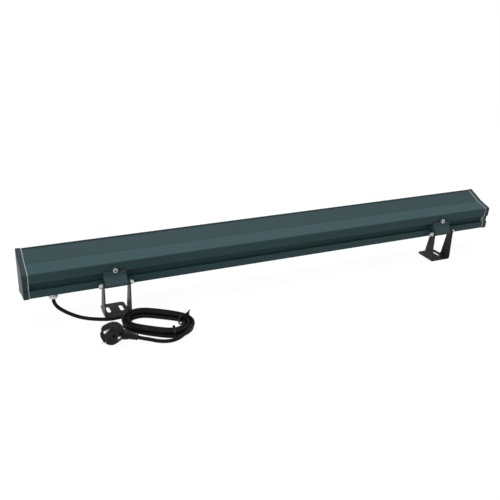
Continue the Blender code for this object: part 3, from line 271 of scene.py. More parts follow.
def plainMetal(name, colour, rough, metallic=1.0):
    paint = Paint(name, Metallic=metallic)
    marks = paint.noise(0.00035)
    stain = paint.noise(0.006, 4.0)
    stained = paint.stretch(stain, 0.45, 0.75, 0.0, 0.6)
    paint.put("Base Color", paint.mix(stained, colour, shade(colour, 0.72)))
    paint.put("Roughness", paint.stretch(marks, 0.3, 0.7, rough - 0.07, rough + 0.10))
    paint.bump(marks, 0.00003, 0.4)
    return paint.material


def moulded(name, colour, rough, size=0.0006, depth=0.00006, gloss=0.45):
    paint = Paint(name, Metallic=0.0, Specular_IOR_Level=gloss)
    grain = paint.noise(size)
    cloud = paint.noise(0.02, 4.0)
    paint.put("Base Color", paint.mix(paint.stretch(cloud, 0.4, 0.7), colour, shade(colour, 1.22, 0.004)))
    paint.put("Roughness", paint.stretch(cloud, 0.3, 0.7, rough - 0.06, rough + 0.08))
    paint.bump(grain, depth, 0.5)
    return paint.material


def rubberSheath():
    paint = Paint("cordRubber", Metallic=0.0, Specular_IOR_Level=0.09)
    fine = paint.noise(0.0009)
    cloud = paint.noise(0.03, 4.0)
    scuff = paint.stretch(paint.noise(0.0035, 5.0, rough=0.75), 0.60, 0.72)
    black = paint.mix(paint.stretch(cloud, 0.35, 0.7), rgb(0.0035, 0.0036, 0.0045), rgb(0.006, 0.006, 0.007))
    paint.put("Base Color", paint.mix(0.5 * scuff, black, rgb(0.016, 0.016, 0.017)))
    paint.put("Roughness", paint.stretch(cloud, 0.3, 0.7, 0.36, 0.48) + 0.12 * scuff)
    paint.bump(fine, 0.00006, 0.5)
    return paint.material


pane = millimetres({
    "u": 62.1,
    "halfLength": 488.5,
    "halfHeight": 35.7,
    "border": 7.5,
})


def paneGlass():
    # clear glass with a black fired border
    paint = Paint("frontPane", Roughness=0.02, IOR=1.5, Transmission_Weight=1.0)
    paint.put("Base Color", rgb(0.93, 0.97, 0.955))
    spot = paint.add("ShaderNodeTexCoord", {}, {}, "Object")
    middle = (barMatrix @ Vector((0, pane["u"], 0))).z
    sideways = abs(paint.along(spot, 0)) > pane["halfLength"] - pane["border"]
    upwards = abs(paint.along(spot, 2) - middle) > pane["halfHeight"] - pane["border"]
    black = {"Base Color": rgb(0.008, 0.008, 0.009), "Roughness": 0.12}
    fired = paint.add("ShaderNodeBsdfPrincipled", {}, black)
    paint.close("Material Output", sideways.largest(upwards), paint.wired(paint.shader, {}), fired)
    return paint.material


def clearAcrylic():
    paint = Paint("clearAcrylic", Roughness=0.05, IOR=1.49, Transmission_Weight=0.92)
    paint.put("Base Color", rgb(0.94, 0.96, 0.97))
    return paint.material


def solderMask():
    paint = Paint("solderMask", Metallic=0.0)
    spots = paint.noise(0.004)
    upright = paint.place((1, 1, 1), (math.radians(90), 0, 0))
    values = {"Vector": upright, "Scale": 18.0, "Mortar Size": 0.012, "Mortar Smooth": 0.4}
    tracks = paint.add("ShaderNodeTexBrick", {"offset": 0.5}, values, "Fac")
    paint.put("Base Color", paint.mix(0.22 * tracks, rgb(0.80, 0.80, 0.77), rgb(0.62, 0.62, 0.58)))
    paint.put("Roughness", paint.stretch(spots, 0.3, 0.7, 0.30, 0.42))
    return paint.material


# Shaping helpers

def arcPoints(centre, radius, start, end, steps):
    turns = [math.radians(start + (end - start) * n / steps) for n in range(steps + 1)]
    return [(centre[0] + radius * math.cos(a), centre[1] + radius * math.sin(a)) for a in turns]


def bothHalves(upper):
    return upper + [(a, -b) for a, b in reversed(upper)]


def mirrored(points):
    return [(-a, b) for a, b in reversed(points)]


def outwards(bm):
    bmesh.ops.recalc_face_normals(bm, faces=bm.faces)
    return bm


def extrudeOutline(outline, low, high, axis="X", holes=()):
    # an outline, with or without holes, filled and pulled along one axis
    spots = {"X": lambda a, b: (low, a, b), "Y": lambda a, b: (a, low, b), "Z": lambda a, b: (a, b, low)}
    way = Vector({"X": (1, 0, 0), "Y": (0, 1, 0), "Z": (0, 0, 1)}[axis])
    bm = bmesh.new()
    loops = []
    for loop in [outline, *holes]:
        loops.append([bm.verts.new(spots[axis](a, b)) for a, b in loop])
    if holes:
        edges = [bm.edges.new((loop[n - 1], loop[n])) for loop in loops for n in range(len(loop))]
        bmesh.ops.triangle_fill(bm, use_beauty=True, edges=edges, normal=way)
    else:
        bm.faces.new(loops[0])
    grown = bmesh.ops.extrude_face_region(bm, geom=bm.faces[:], use_keep_orig=True)
    tops = [item for item in grown["geom"] if isinstance(item, bmesh.types.BMVert)]
    bmesh.ops.translate(bm, vec=way * (high - low), verts=tops)
    return outwards(bm)


def turned(bm, matrix):
    bmesh.ops.transform(bm, matrix=matrix, verts=bm.verts)
    return bm


def softened(bm, edges, width, segments=2):
    bmesh.ops.bevel(
        bm, geom=edges, offset=width, offset_type="OFFSET", segments=segments, profile=0.5,
        affect="EDGES", material=-1, clamp_overlap=True,
    )


def axesAt(origin, forward, side=(0, 0, 1)):
    # axes whose +Z is forward and whose +X is as near to side as it can be
    z = Vector(forward).normalized()
    x = (Vector(side) - z * z.dot(Vector(side))).normalized()
    return Matrix.Translation(Vector(origin)) @ Matrix((x, z.cross(x), z)).transposed().to_4x4()


def ringStack(rings, sides, matrix):
    # a solid grown ring by ring: (radius, height) or (flat-to-flat / 2, height, "hex")
    bm = bmesh.new()
    bmesh.ops.create_circle(bm, cap_ends=True, segments=sides, radius=1.0)
    face = bm.faces[:][0]

    def shape(verts, ring):
        for vert in verts:
            angle = math.atan2(vert.co.y, vert.co.x)
            reach = ring[0]
            if len(ring) > 2:
                part = (angle + math.pi / 6) % (math.pi / 3) - math.pi / 6
                reach = ring[0] / math.cos(part)
            vert.co = (reach * math.cos(angle), reach * math.sin(angle), ring[1])

    shape(face.verts, rings[0])
    for ring in rings[1:]:
        grown = bmesh.ops.extrude_face_region(bm, geom=[face], use_keep_orig=True)
        if ring is not rings[1]:
            bmesh.ops.delete(bm, geom=[face], context="FACES_ONLY")
        face = [item for item in grown["geom"] if isinstance(item, bmesh.types.BMFace)][0]
        shape(face.verts, ring)
    return turned(outwards(bm), matrix)


def rod(radius, low, high, sides, matrix):
    return ringStack([(radius, low), (radius, high)], sides, matrix)


def spinProfile(profile, sides, matrix):
    # a closed ring or a solid turned from (radius, height) points
    bm = bmesh.new()
    points = [bm.verts.new((r, 0, h)) for r, h in profile]
    edges = [bm.edges.new(pair) for pair in zip(points, points[1:])]
    if profile[0][0] > 0:
        edges.append(bm.edges.new((points[-1], points[0])))
    bmesh.ops.spin(
        bm, geom=edges, cent=(0, 0, 0), axis=(0, 0, 1), dvec=(0, 0, 0), angle=math.tau,
        steps=sides, use_merge=True, use_duplicate=False,
    )
    bmesh.ops.remove_doubles(bm, verts=bm.verts, dist=1e-6)
    return turned(outwards(bm), matrix)


def softBox(low, high, rounding, segments=2):
    bm = bmesh.new()
    bmesh.ops.create_cube(bm, size=1.0)
    bmesh.ops.scale(bm, vec=Vector(high) - Vector(low), verts=bm.verts)
    bmesh.ops.translate(bm, vec=(Vector(high) + Vector(low)) / 2, verts=bm.verts)
    if rounding:
        softened(bm, bm.edges[:], rounding, segments)
    return bm


def gather(shapes):
    # several shapes in one bmesh
    whole = bmesh.new()
    for shape in shapes:
        step = bpy.data.meshes.new("step")
        shape.to_mesh(step)
        shape.free()
        whole.from_mesh(step)
        bpy.data.meshes.remove(step)
    return whole


def asObject(name, bm, paint=None):
    mesh = bpy.data.meshes.new(name)
    bm.to_mesh(mesh)
    bm.free()
    if paint:
        mesh.materials.append(paint)
    return placed(name, mesh)


def finalMesh(piece):
    scene = bpy.context.evaluated_depsgraph_get()
    return bpy.data.meshes.new_from_object(piece.evaluated_get(scene))


def evaluated(piece):
    # makes a piece's modifiers part of its mesh
    mesh = finalMesh(piece)
    piece.modifiers.clear()
    old = piece.data
    piece.data = mesh
    bpy.data.meshes.remove(old)


def carve(piece, shapes, operation="DIFFERENCE"):
    tools = [asObject("tool", shape) for shape in shapes]
    for tool in tools:
        step = piece.modifiers.new("carve", "BOOLEAN")
        step.operation = operation
        step.solver = "EXACT"
        step.object = tool
    evaluated(piece)
    for tool in tools:
        bpy.data.objects.remove(tool)


def roundEdges(piece, width, angle):
    step = piece.modifiers.new("edges", "BEVEL")
    step.width = width
    step.segments = 2
    step.limit_method = "ANGLE"
    step.angle_limit = math.radians(angle)
    step.use_clamp_overlap = True
    evaluated(piece)


def settle(piece, body, nodes=(), angle=34):
    # smooth shading that leaves flat faces flat, then the piece's body, and the solids it stands for are
    # hidden
    piece.data.shade_smooth()
    piece.data.set_sharp_from_angle(angle=math.radians(angle))
    step = piece.modifiers.new("normals", "WEIGHTED_NORMAL")
    step.keep_sharp = True
    evaluated(piece)
    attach(piece, body)
    if nodes:
        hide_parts(*nodes)
    return piece


def onBar(name, bm, paint, nodes=(), angle=34):
    # a piece made in the bar's own axes, set in its place
    settle(asObject(name, turned(bm, barMatrix), paint), "light_bar", nodes, angle)


# The bar's own axes: u from the back face to the glass, v up

barAxes = {
    "pivot": (0.0, -35.94 * mm, 62.0 * mm),
    "tilt": 4.2,
    "backOffset": 8.9 * mm,
    "centreRise": 14.8 * mm,
}
tiltMatrix = Matrix.Translation(barAxes["pivot"]) @ Matrix.Rotation(math.radians(barAxes["tilt"]), 4, "X")
barMatrix = tiltMatrix @ Matrix.Translation((0, barAxes["backOffset"], barAxes["centreRise"]))
boltAxes = axesAt((0, 0, 0), (1, 0, 0))
leftX = -342.5 * mm
rightX = 370.6 * mm

section = millimetres({
    "back": 23.3,
    "crease": (29.7, 29.35),
    "front": (64.0, 42.1),
    "corner": 2.5,
    "wall": 2.3,
    "slotHalf": 6.9,
    "slotWing": 11.5,
    "slotShift": -1.7,
    "lip": 2.6,
    "slotDepth": 7.2,
    "halfLength": 489.0,
    "softEdge": 0.45,
})


def sideHeight(u):
    creaseU, creaseV = section["crease"]
    frontU, frontV = section["front"]
    if u < creaseU:
        return section["back"] + u * (creaseV - section["back"]) / creaseU
    return creaseV + (u - creaseU) * (frontV - creaseV) / (frontU - creaseU)


def innerHeight(u):
    return sideHeight(u) - section["wall"] * 1.04


def sidePoint(u, rise=0.0):
    return (u, sideHeight(u) + rise)


def innerPoint(u):
    return (u, innerHeight(u))


def withSlot(outline):
    # the channel lies a little under the middle of the back
    wing = section["slotWing"] + 0.01 * mm
    return [(u, v + section["slotShift"]) if u < 8 * mm and abs(v) < wing else (u, v) for u, v in outline]


def backCorner(grow=0.0):
    s = section
    return arcPoints((s["corner"], s["back"] - s["corner"] + 0.5 * mm), s["corner"] + grow, 102, 180, 8)


def housingProfile():
    s = section
    shelf = 30.6 * mm
    upper = [
        innerPoint(39.0 * mm), innerPoint(50.5 * mm), (50.5 * mm, shelf), (58.8 * mm, shelf),
        innerPoint(58.8 * mm), innerPoint(64.0 * mm), s["front"], sidePoint(63.4 * mm, -0.05 * mm),
        sidePoint(61.3 * mm, 0.45 * mm), sidePoint(60.7 * mm, -0.25 * mm), sidePoint(59.9 * mm),
    ]
    for u, depth in ((52.0 * mm, 0.16 * mm), (44.5 * mm, 0.16 * mm), (s["crease"][0], 0.42 * mm)):
        # shallow drawn lines along the flare and one in its fold
        upper += [sidePoint(u + 0.65 * mm), sidePoint(u, -depth), sidePoint(u - 0.65 * mm)]
    upper += [
        *backCorner(), (0.0, s["slotHalf"]), (s["lip"], s["slotHalf"]),
        (s["lip"], s["slotWing"]), (s["slotDepth"], s["slotWing"]),
    ]
    return withSlot(bothHalves(upper))


def makeHousing(paint):
    chamber = bothHalves([innerPoint(36.0 * mm), (30.0 * mm, innerHeight(29.6 * mm)), innerPoint(9.6 * mm)])
    half = section["halfLength"]
    bm = extrudeOutline(housingProfile(), -half, half, "X", [chamber])
    sharp = []
    for edge in bm.edges:
        first, second = [vert.co for vert in edge.verts]
        if abs(first.x - second.x) < half:
            continue
        u, v = first.y, abs(first.z)
        outside = u < 7.4 * mm or v > sideHeight(u) - 0.6 * mm or u > 50 * mm
        if outside and edge.calc_face_angle(0) > math.radians(24):
            sharp.append(edge)
    softened(bm, sharp, section["softEdge"])
    onBar("housingShell", bm, paint, ["housing"], 20)


ends = millimetres({
    "outside": 500,
    "capThick": 8.4,
    "gasketThick": 2.0,
    "gap": 0.3,
    "capShape": (1.0, 68.2, 2.4),  # past the section, front, reach into the channel
    "gasketShape": (0.45, 67.4, 1.6),
    "capEdge": 1.0,
    "gasketEdge": 0.5,
    "boreEdge": 0.22,
    "ports": [(5.0, 17.8), (5.0, -17.8), (54.2, 33.6), (54.2, -33.6)],
    "boreRadius": 4.1,
    "boreDepth": 4.4,
    "screw": (3.5, 3.4, 1.9, 15, 1.5),  # as socketScrew takes them
})


def capProfile(grow, front, notch):
    s = section
    frontU = s["front"][0]
    return withSlot(bothHalves([
        (front, sideHeight(frontU) + grow - 1.2 * mm), (front - 1.0 * mm, sideHeight(frontU) + grow),
        sidePoint(frontU, grow), (s["crease"][0], s["crease"][1] + grow), *backCorner(grow),
        (-grow, s["slotHalf"]), (notch, s["slotHalf"] - 0.8 * mm),
    ]))


def socketScrew(seat, outward, head, height, shank, length, socket, floor=None):
    floor = height * 0.42 if floor is None else floor
    rings = [
        (shank * 0.8, -length), (shank, -length + 0.4 * mm), (shank, -0.02 * mm), (head - 0.15 * mm, 0),
        (head, 0.2 * mm), (head, height - 0.45 * mm), (head - 0.12 * mm, height - 0.15 * mm),
        (head - 0.4 * mm, height), (socket + 0.28 * mm, height), (socket, height - 0.25 * mm, "hex"),
        (socket, floor, "hex"), (socket * 0.3, floor - 0.3 * mm),
    ]
    return ringStack(rings, 24, axesAt(seat, outward))


def makeEnd(side, capPaint, gasketPaint, screwPaint):
    name = "Left" if side < 0 else "Right"
    tag = name.lower()
    outward = (side, 0, 0)
    outer = side * ends["outside"]
    inner = outer - side * ends["capThick"]
    bm = extrudeOutline(capProfile(*ends["capShape"]), *sorted((inner, outer)))
    rim = [e for e in bm.edges if all(abs(v.co.x - outer) < 1e-6 for v in e.verts)]
    softened(bm, rim, ends["capEdge"], 4)
    cap = asObject("endCap" + name, bm, capPaint)
    bottom = outer - side * ends["boreDepth"]
    bores = [axesAt((bottom, u, v), outward) for u, v in ends["ports"]]
    carve(cap, [rod(ends["boreRadius"], 0, 9 * mm, 28, axes) for axes in bores])
    roundEdges(cap, ends["boreEdge"], 40)
    cap.data.transform(barMatrix)
    settle(cap, "light_bar", ["end_cap_" + tag])

    near = inner - side * ends["gap"]
    far = near - side * ends["gasketThick"]
    gasket = extrudeOutline(capProfile(*ends["gasketShape"]), *sorted((near, far)))
    around = [e for e in gasket.edges if abs(e.verts[0].co.x - e.verts[1].co.x) < 1e-7]
    softened(gasket, around, ends["gasketEdge"], 3)
    onBar("endGasket" + name, gasket, gasketPaint, ["end_gasket_" + tag])

    seat = outer - side * (ends["boreDepth"] - 0.3 * mm)
    for n, (u, v) in enumerate(ends["ports"]):
        screw = socketScrew((seat, u, v), outward, *ends["screw"])
        onBar("endScrew" + name + str(n + 1), screw, screwPaint, ["end_screw_%s_%d" % (tag, n + 1)])


rails = millimetres({
    "edge": 0.3,
    "profile": [
        (64.3, 42.25), (62.7, 42.25), (62.9, 42.9), (66.4, 42.7), (67.2, 41.6), (67.2, 34.0),
        (64.9, 31.8), (64.3, 31.8), (64.3, 36.3), (61.0, 36.3), (61.0, 37.9), (64.3, 37.9),
    ],
})


def makeRails(paint):
    half = section["halfLength"]
    for name, sign in (("Top", 1), ("Bottom", -1)):
        bm = extrudeOutline([(u, sign * v) for u, v in rails["profile"]], -half, half)
        long = [e for e in bm.edges if abs(e.verts[0].co.x - e.verts[1].co.x) > half]
        softened(bm, long, rails["edge"])
        onBar("frontRail" + name, bm, paint, ["front_rail_" + name.lower()])


# Light engine behind the glass

lights = millimetres({
    "boardStep": 322,
    "boardHalf": (160, 20),
    "boardBack": 39.3,
    "boardThick": 1.6,
    "step": 26.8,
    "chip": 3.5,
    "chipHeight": 0.7,
    "dome": [(1.45, 0.72), (1.3, 1.0), (0.9, 1.2), (0.3, 1.28)],
    "lensFoot": 41.2,
    "lens": [
        (0, 2.9), (2.2, 2.5), (3.2, 0.1), (5.2, 0.1), (6.3, 3.0), (8.3, 7.2), (9.85, 10.9), (10.0, 11.2),
        (9.75, 11.4), (6.0, 11.4), (5.5, 10.7), (3.0, 11.0), (0, 11.2),
    ],
    "flange": (157, 12.5, 3.2),
    "lensHole": 6.7,
    "screwHole": 1.8,
    "screwSeat": 0.3,
    "screw": [
        (1.4, -8.6), (1.4, -0.02), (2.7, 0), (2.8, 0.2), (2.6, 1.1), (1.9, 1.7), (1.25, 1.9),
        (1.0, 1.8, "hex"), (1.0, 0.8, "hex"),
    ],
})
lensesPerBoard = 12


def makeLights(maskPaint, packagePaint, phosphorPaint, lensPaint, screwPaint):
    upright = Matrix(((1, 0, 0, 0), (0, 0, 1, 0), (0, 1, 0, 0), (0, 0, 0, 1)))  # Y and Z change places
    forward = (0, 1, 0)
    boardX, boardV = lights["boardHalf"]
    back = lights["boardBack"]
    front = back + lights["boardThick"]
    chip = lights["chip"] / 2
    chipTop = front + lights["chipHeight"]
    foot = lights["lensFoot"]
    flangeX, flangeV, thick = lights["flange"]
    head = foot + thick + lights["screwSeat"]
    for n in range(3):
        tag = str(n + 1)
        centre = (n - 1) * lights["boardStep"]
        places = [centre + (k - (lensesPerBoard - 1) / 2) * lights["step"] for k in range(lensesPerBoard)]
        board = softBox((centre - boardX, back, -boardV), (centre + boardX, front, boardV), 0.25 * mm)
        onBar("ledBoard" + tag, board, maskPaint, ["led_board_" + tag])

        packages, domes, cups, holes = [], [], [], []
        for x in places:
            packages.append(softBox((x - chip, front, -chip), (x + chip, chipTop, chip), 0.15 * mm, 1))
            domes.append(ringStack(lights["dome"], 16, axesAt((x, front, 0), forward)))
            cups.append(spinProfile(lights["lens"], 32, axesAt((x, foot, 0), forward)))
            holes.append(arcPoints((x, 0), lights["lensHole"], 0, 360, 32)[:-1])
        onBar("ledPackages" + tag, gather(packages), packagePaint)
        onBar("ledDomes" + tag, gather(domes), phosphorPaint)
        onBar("lenses" + tag, gather(cups), lensPaint, ["lens_strip_" + tag])

        holes.append(arcPoints((centre, 0), lights["screwHole"], 0, 360, 16)[:-1])
        left, right = centre - flangeX, centre + flangeX
        edge = [(left, -flangeV), (right, -flangeV), (right, flangeV), (left, flangeV)]
        flange = outwards(turned(extrudeOutline(edge, foot, foot + thick, "Z", holes), upright))
        onBar("lensHolder" + tag, flange, packagePaint)
        screw = ringStack(lights["screw"], 24, axesAt((centre, head, 0), forward))
        onBar("lensScrew" + tag, screw, screwPaint, ["lens_screw_" + tag])


# Cable gland

gland = millimetres({
    "x": -448.8,
    "u": 17.5,
    "exit": 11.3,
    "body": [
        (5.9, -7.0), (5.9, 1.45), (7.2, 1.5), (7.5, 1.8, "hex"), (7.5, 4.5, "hex"), (7.2, 4.8),
        (6.0, 4.85), (6.0, 7.4), (3.8, 7.6), (3.7, 3.0),
    ],
    "nut": [
        (6.5, 5.1), (7.9, 5.15), (8.1, 5.4), (8.1, 8.0), (7.9, 8.8), (7.3, 9.9),
        (6.4, 10.7), (5.2, 11.0), (3.95, 11.0), (3.75, 10.6), (3.75, 9.0), (6.5, 8.8),
    ],
    "gripAt": 8.45,
    "grip": (0.75, 5.0, 9.6),  # radius, bottom, top
})
gripCount = 12


def glandAxes():
    slope = (section["crease"][1] - section["back"]) / section["crease"][0]
    origin = (gland["x"], gland["u"], -sideHeight(gland["u"]))
    return axesAt(origin, (0.0, -slope, -1.0), (1, 0, 0))


def makeGland(paint):
    place = barMatrix @ glandAxes()
    body = asObject("glandBody", ringStack(gland["body"], 48, place), paint)
    settle(body, "light_bar", ["gland_body"])
    nut = asObject("glandNut", spinProfile(gland["nut"], 48, place), paint)
    grips = []
    for n in range(gripCount):
        turn = Matrix.Rotation(math.tau * n / gripCount, 4, "Z")
        grips.append(rod(*gland["grip"], 10, place @ turn @ Matrix.Translation((gland["gripAt"], 0, 0))))
    carve(nut, [gather(grips)])
    settle(nut, "light_bar", ["gland_nut"])


# Clamps

clamp = millimetres({
    "saddleHalf": 20.3,
    "knuckle": 5.2,
    "fold": (-3.4, -0.7),
    "groove": [(-3.4, 0.5), (-2.6, -0.1), (-2.9, -0.6)],
    "top": 8.0,
    "lockV": 10.4,
    "ear": (6.6, 0, 3.2),  # radius, start, end
    "earFace": -3.8,
    "spacer": (4.6, -21.7, 21.7),
    "bore": (2.8, -30, 30),
    "lockScrew": (4.25, 2.8, 2.6, 3.7, 1.8, -1.6),  # as socketScrew takes them
    # faces of the socket inside this radius get the painted shade
    "darkRadius": 2.15,
    "boltAt": 24.9,
    "washer": [(2.7, 0), (5.05, 0), (5.15, 0.12), (5.15, 0.85), (5.0, 1.0), (2.7, 1.0)],
    "spring": [(2.7, 1.05), (4.3, 1.05), (4.4, 1.15), (4.4, 1.6), (4.3, 1.7), (2.7, 1.7)],
    "bolt": [
        (2.0, -18), (2.4, -17.5), (2.4, 1.72), (3.8, 1.75), (4.0, 2.0, "hex"), (4.0, 5.6, "hex"),
        (3.9, 5.9), (3.3, 6.2), (0.5, 6.2),
    ],
    "softEdge": 0.45,
})


def saddleProfile():
    pivot = Vector((-barAxes["backOffset"], -barAxes["centreRise"]))
    fold = Vector(clamp["fold"])
    reach = (pivot - fold).length
    tangent = math.atan2(fold.y - pivot.y, fold.x - pivot.x) + math.acos(clamp["knuckle"] / reach)
    knuckle = arcPoints(pivot, clamp["knuckle"], -62, math.degrees(tangent) - 360, 18)
    shift = section["slotShift"]
    slot = section["slotHalf"] - 0.4 * mm
    wing = section["slotWing"] - 0.4 * mm
    top, low, head, heel = shift + slot, shift - slot, shift + wing, shift - wing
    return [
        (6.8 * mm, head), (3.0 * mm, head), (3.0 * mm, top), (-0.35 * mm, top), (-0.35 * mm, clamp["top"]),
        (-3.4 * mm, clamp["top"]), *clamp["groove"], tuple(fold + Vector((-0.5 * mm, -0.5 * mm))),
        *reversed(knuckle), (-0.35 * mm, -16.5 * mm), (-0.35 * mm, low), (3.0 * mm, low), (3.0 * mm, heel),
        (6.8 * mm, heel),
    ]


def makeClamp(side, x, body, saddlePaint, screwPaint, socketShadePaint):
    tag = side.lower()
    place = tiltMatrix.copy()
    place.translation.x = x
    back = barAxes["backOffset"]
    rise = barAxes["centreRise"]
    half = clamp["saddleHalf"]
    earFace = back + clamp["earFace"]
    lockHeight = clamp["lockV"] + rise
    profile = [(u + back, v + rise) for u, v in saddleProfile()]
    saddle = asObject("clampSaddle" + side, extrudeOutline(profile, -half, half), saddlePaint)
    ear = rod(*clamp["ear"], 40, axesAt((0, earFace, lockHeight), (0, 1, 0)))
    carve(saddle, [ear, rod(*clamp["spacer"], 32, boltAxes)], "UNION")
    carve(saddle, [rod(*clamp["bore"], 24, boltAxes)])
    roundEdges(saddle, clamp["softEdge"], 30)
    saddle.data.transform(place)
    settle(saddle, body, ["clamp_saddle_" + tag])

    screw = socketScrew((0, earFace - 0.3 * mm, lockHeight), (0, -1, 0), *clamp["lockScrew"])
    for face in screw.faces:
        # the faces inside the socket get a dark paint: painted shade in the hollow
        reaches = [math.hypot(v.co.x, v.co.z - lockHeight) for v in face.verts]
        face.material_index = int(max(reaches) < clamp["darkRadius"])
    screw = asObject("lockScrew" + side, turned(screw, place), screwPaint)
    screw.data.materials.append(socketShadePaint)
    settle(screw, body, ["lock_screw_" + tag])

    outerSign = -1 if side == "Left" else 1
    for end, sign in (("outer", outerSign), ("inner", -outerSign)):
        axes = axesAt((sign * clamp["boltAt"], 0, 0), (sign, 0, 0))
        rings = [spinProfile(clamp[name], 36, axes) for name in ("washer", "spring")]
        bolt = turned(gather([ringStack(clamp["bolt"], 36, axes), *rings]), place)
        piece = asObject("pivotBolt" + side + end.capitalize(), bolt, screwPaint)
        settle(piece, body, ["pivot_bolt_" + tag + "_" + end], 28)


# Bent steel feet

foot = millimetres({
    "half": 24.6,
    "thick": 2.5,
    "bend": 4.0,
    "legRadius": 7.0,
    "legFootY": 20.5,
    "tongueY": 45.0,
    "tongueIn": 2.4,
    "tongueRound": 7.0,
    "slotWidth": 7.2,
    "slotLength": 24.5,
    "slotX": 12.0,
    "slotY": 23.0,
    "bore": 2.8,
    "softEdge": 0.35,
})


def makeFoot(side, x, body, paint):
    f = foot
    pivotY, pivotZ = barAxes["pivot"][1:]
    floor = -pivotZ
    plateTop = floor + f["thick"]
    top = f["legRadius"] + 2 * mm
    bendCentre = (f["half"] - f["bend"], floor + f["bend"])
    outside = [(f["half"], top), *arcPoints(bendCentre, f["bend"], 0, -90, 10)]
    inside = [*arcPoints(bendCentre, f["bend"] - f["thick"], -90, 0, 8), (f["half"] - f["thick"], top)]
    strip = [*outside, *mirrored(outside), *mirrored(inside), *inside]
    piece = asObject("foot" + side, extrudeOutline(strip, -top, f["tongueY"] + 2 * mm, "Y"), paint)
    heel = f["legFootY"]
    past = f["tongueY"] + 4 * mm
    sideView = [
        (-f["legRadius"], floor - 2 * mm), *arcPoints((0, 0), f["legRadius"], 180, 0, 28),
        (heel - 0.5 * mm, plateTop + 3.0 * mm), (heel + 0.3 * mm, plateTop + 1.2 * mm),
        (heel + 1.5 * mm, plateTop), (past, plateTop), (past, floor - 2 * mm),
    ]
    carve(piece, [extrudeOutline(sideView, -f["half"] - 3 * mm, f["half"] + 3 * mm)], "INTERSECT")
    wide = f["half"] - f["tongueIn"]
    soft = f["tongueRound"]
    halfPlan = [
        (f["half"] + 2 * mm, -f["legRadius"] - 4 * mm), (f["half"] + 2 * mm, heel + 2.5 * mm),
        (wide, heel + 4.0 * mm), *arcPoints((wide - soft, f["tongueY"] - soft), soft, 0, 90, 10),
    ]
    plan = [*halfPlan, *mirrored(halfPlan)]
    carve(piece, [extrudeOutline(plan, floor - 4 * mm, 14 * mm, "Z")], "INTERSECT")
    cuts = []
    reach = (f["slotLength"] - f["slotWidth"]) / 2
    for slotX in (-f["slotX"], f["slotX"]):
        rim = [
            *arcPoints((slotX, f["slotY"] + reach), f["slotWidth"] / 2, 0, 180, 16),
            *arcPoints((slotX, f["slotY"] - reach), f["slotWidth"] / 2, 180, 360, 16),
        ]
        cuts.append(extrudeOutline(rim, floor - 3 * mm, plateTop + 3 * mm, "Z"))
    cuts.append(rod(f["bore"], -40 * mm, 40 * mm, 28, boltAxes))
    carve(piece, cuts)
    roundEdges(piece, f["softEdge"], 38)
    piece.data.transform(Matrix.Translation((x, pivotY, pivotZ)))
    settle(piece, body, ["foot_" + side.lower()])


# Mains lead: gland, coil, tail and plug

lead = {
    "radius": 3.3 * mm,
    "step": 6 * mm,
    "centre": (-289.5 * mm, -102.2 * mm),
    "turned": -37.0,
    "straight": 25.5 * mm,
    "loop": 39.2 * mm,
    "flatness": 3.0,
    "entry": 125.0,
    "turns": 4.375,
    "pointsPerTurn": 72,
    "climbStart": 1.95,
    "climbTurns": 0.5,
    "lane": 7.55 * mm,
    "coilZ": 4.35 * mm,
    "bendFrom": 41 * mm,  # heights on the real lead: above this it tilts with the bar, below bendTo it lies on the floor
    "bendTo": 10 * mm,
}
leadRoute = millimetres([
    (-446.2, -12.6, 28.6), (-441.2, -14.2, 22.4), (-433.4, -16.8, 16.2), (-423.8, -20.8, 10.8),
    (-412.6, -26.6, 6.4), (-400.8, -33.4, 4.1), (-388.0, -40.8, 3.5), (-374.0, -47.6, 3.5),
    (-361.0, -51.9, 3.5), (-346.0, -52.6, 3.8), (-333.0, -51.5, 4.2),
])
tailRoute = millimetres([
    (-259.0, -160.0, 10.4), (-270.5, -165.3, 7.6), (-282.5, -164.9, 5.0), (-294.5, -160.8, 3.8),
    (-306.0, -155.6, 4.4), (-316.0, -151.2, 6.6),
])
plug = {
    "centre": (-373.0 * mm, -128.0 * mm, 19.1 * mm),
    "facing": (-0.69, -0.70, 0.2),
    "exit": (0.89, -0.41, -0.2),
    "face": 12 * mm,
    "notch": millimetres([(15.9, -3.2, 0.6), (21.5, 3.2, 15)]),
    "body": millimetres([
        (8.5, -14), (11.5, -13.5), (14.6, -11.8), (16.8, -8.8), (18.0, -5), (18.4, 0.2), (18.5, 1.0),
        (18.5, 10.6), (18.15, 11.5), (17.3, 12), (15.5, 12), (15.1, 11.65),
    ]),
    "strip": millimetres([
        (-17.4, 11.7), (-17.4, 1.0), (17.4, 1.0), (17.4, 11.7),
        (16.2, 11.7), (16.2, 2.2), (-16.2, 2.2), (-16.2, 11.7),
    ]),
    "neck": millimetres([(8.8, 0), (9.1, 4), (8.9, 10), (8.2, 14.8), (7.6, 17.4), (6.8, 18)]),
    "neckRoot": (6 * mm, 0, -4.5 * mm),
    "neckLength": 18 * mm,
    "sleeveEnd": 35 * mm,
    "ribs": 5,
    "pinSpacing": 19 * mm,
    "pinRadius": 2.4 * mm,
    "pinLength": 19 * mm,
    "socket": 2.6 * mm,
    "holeDepth": 9 * mm,
    "softEdge": 0.35 * mm,
}
ties = {"angles": (58.0, -58.0), "width": 3.6 * mm, "thick": 0.9 * mm, "bend": 2.6 * mm}


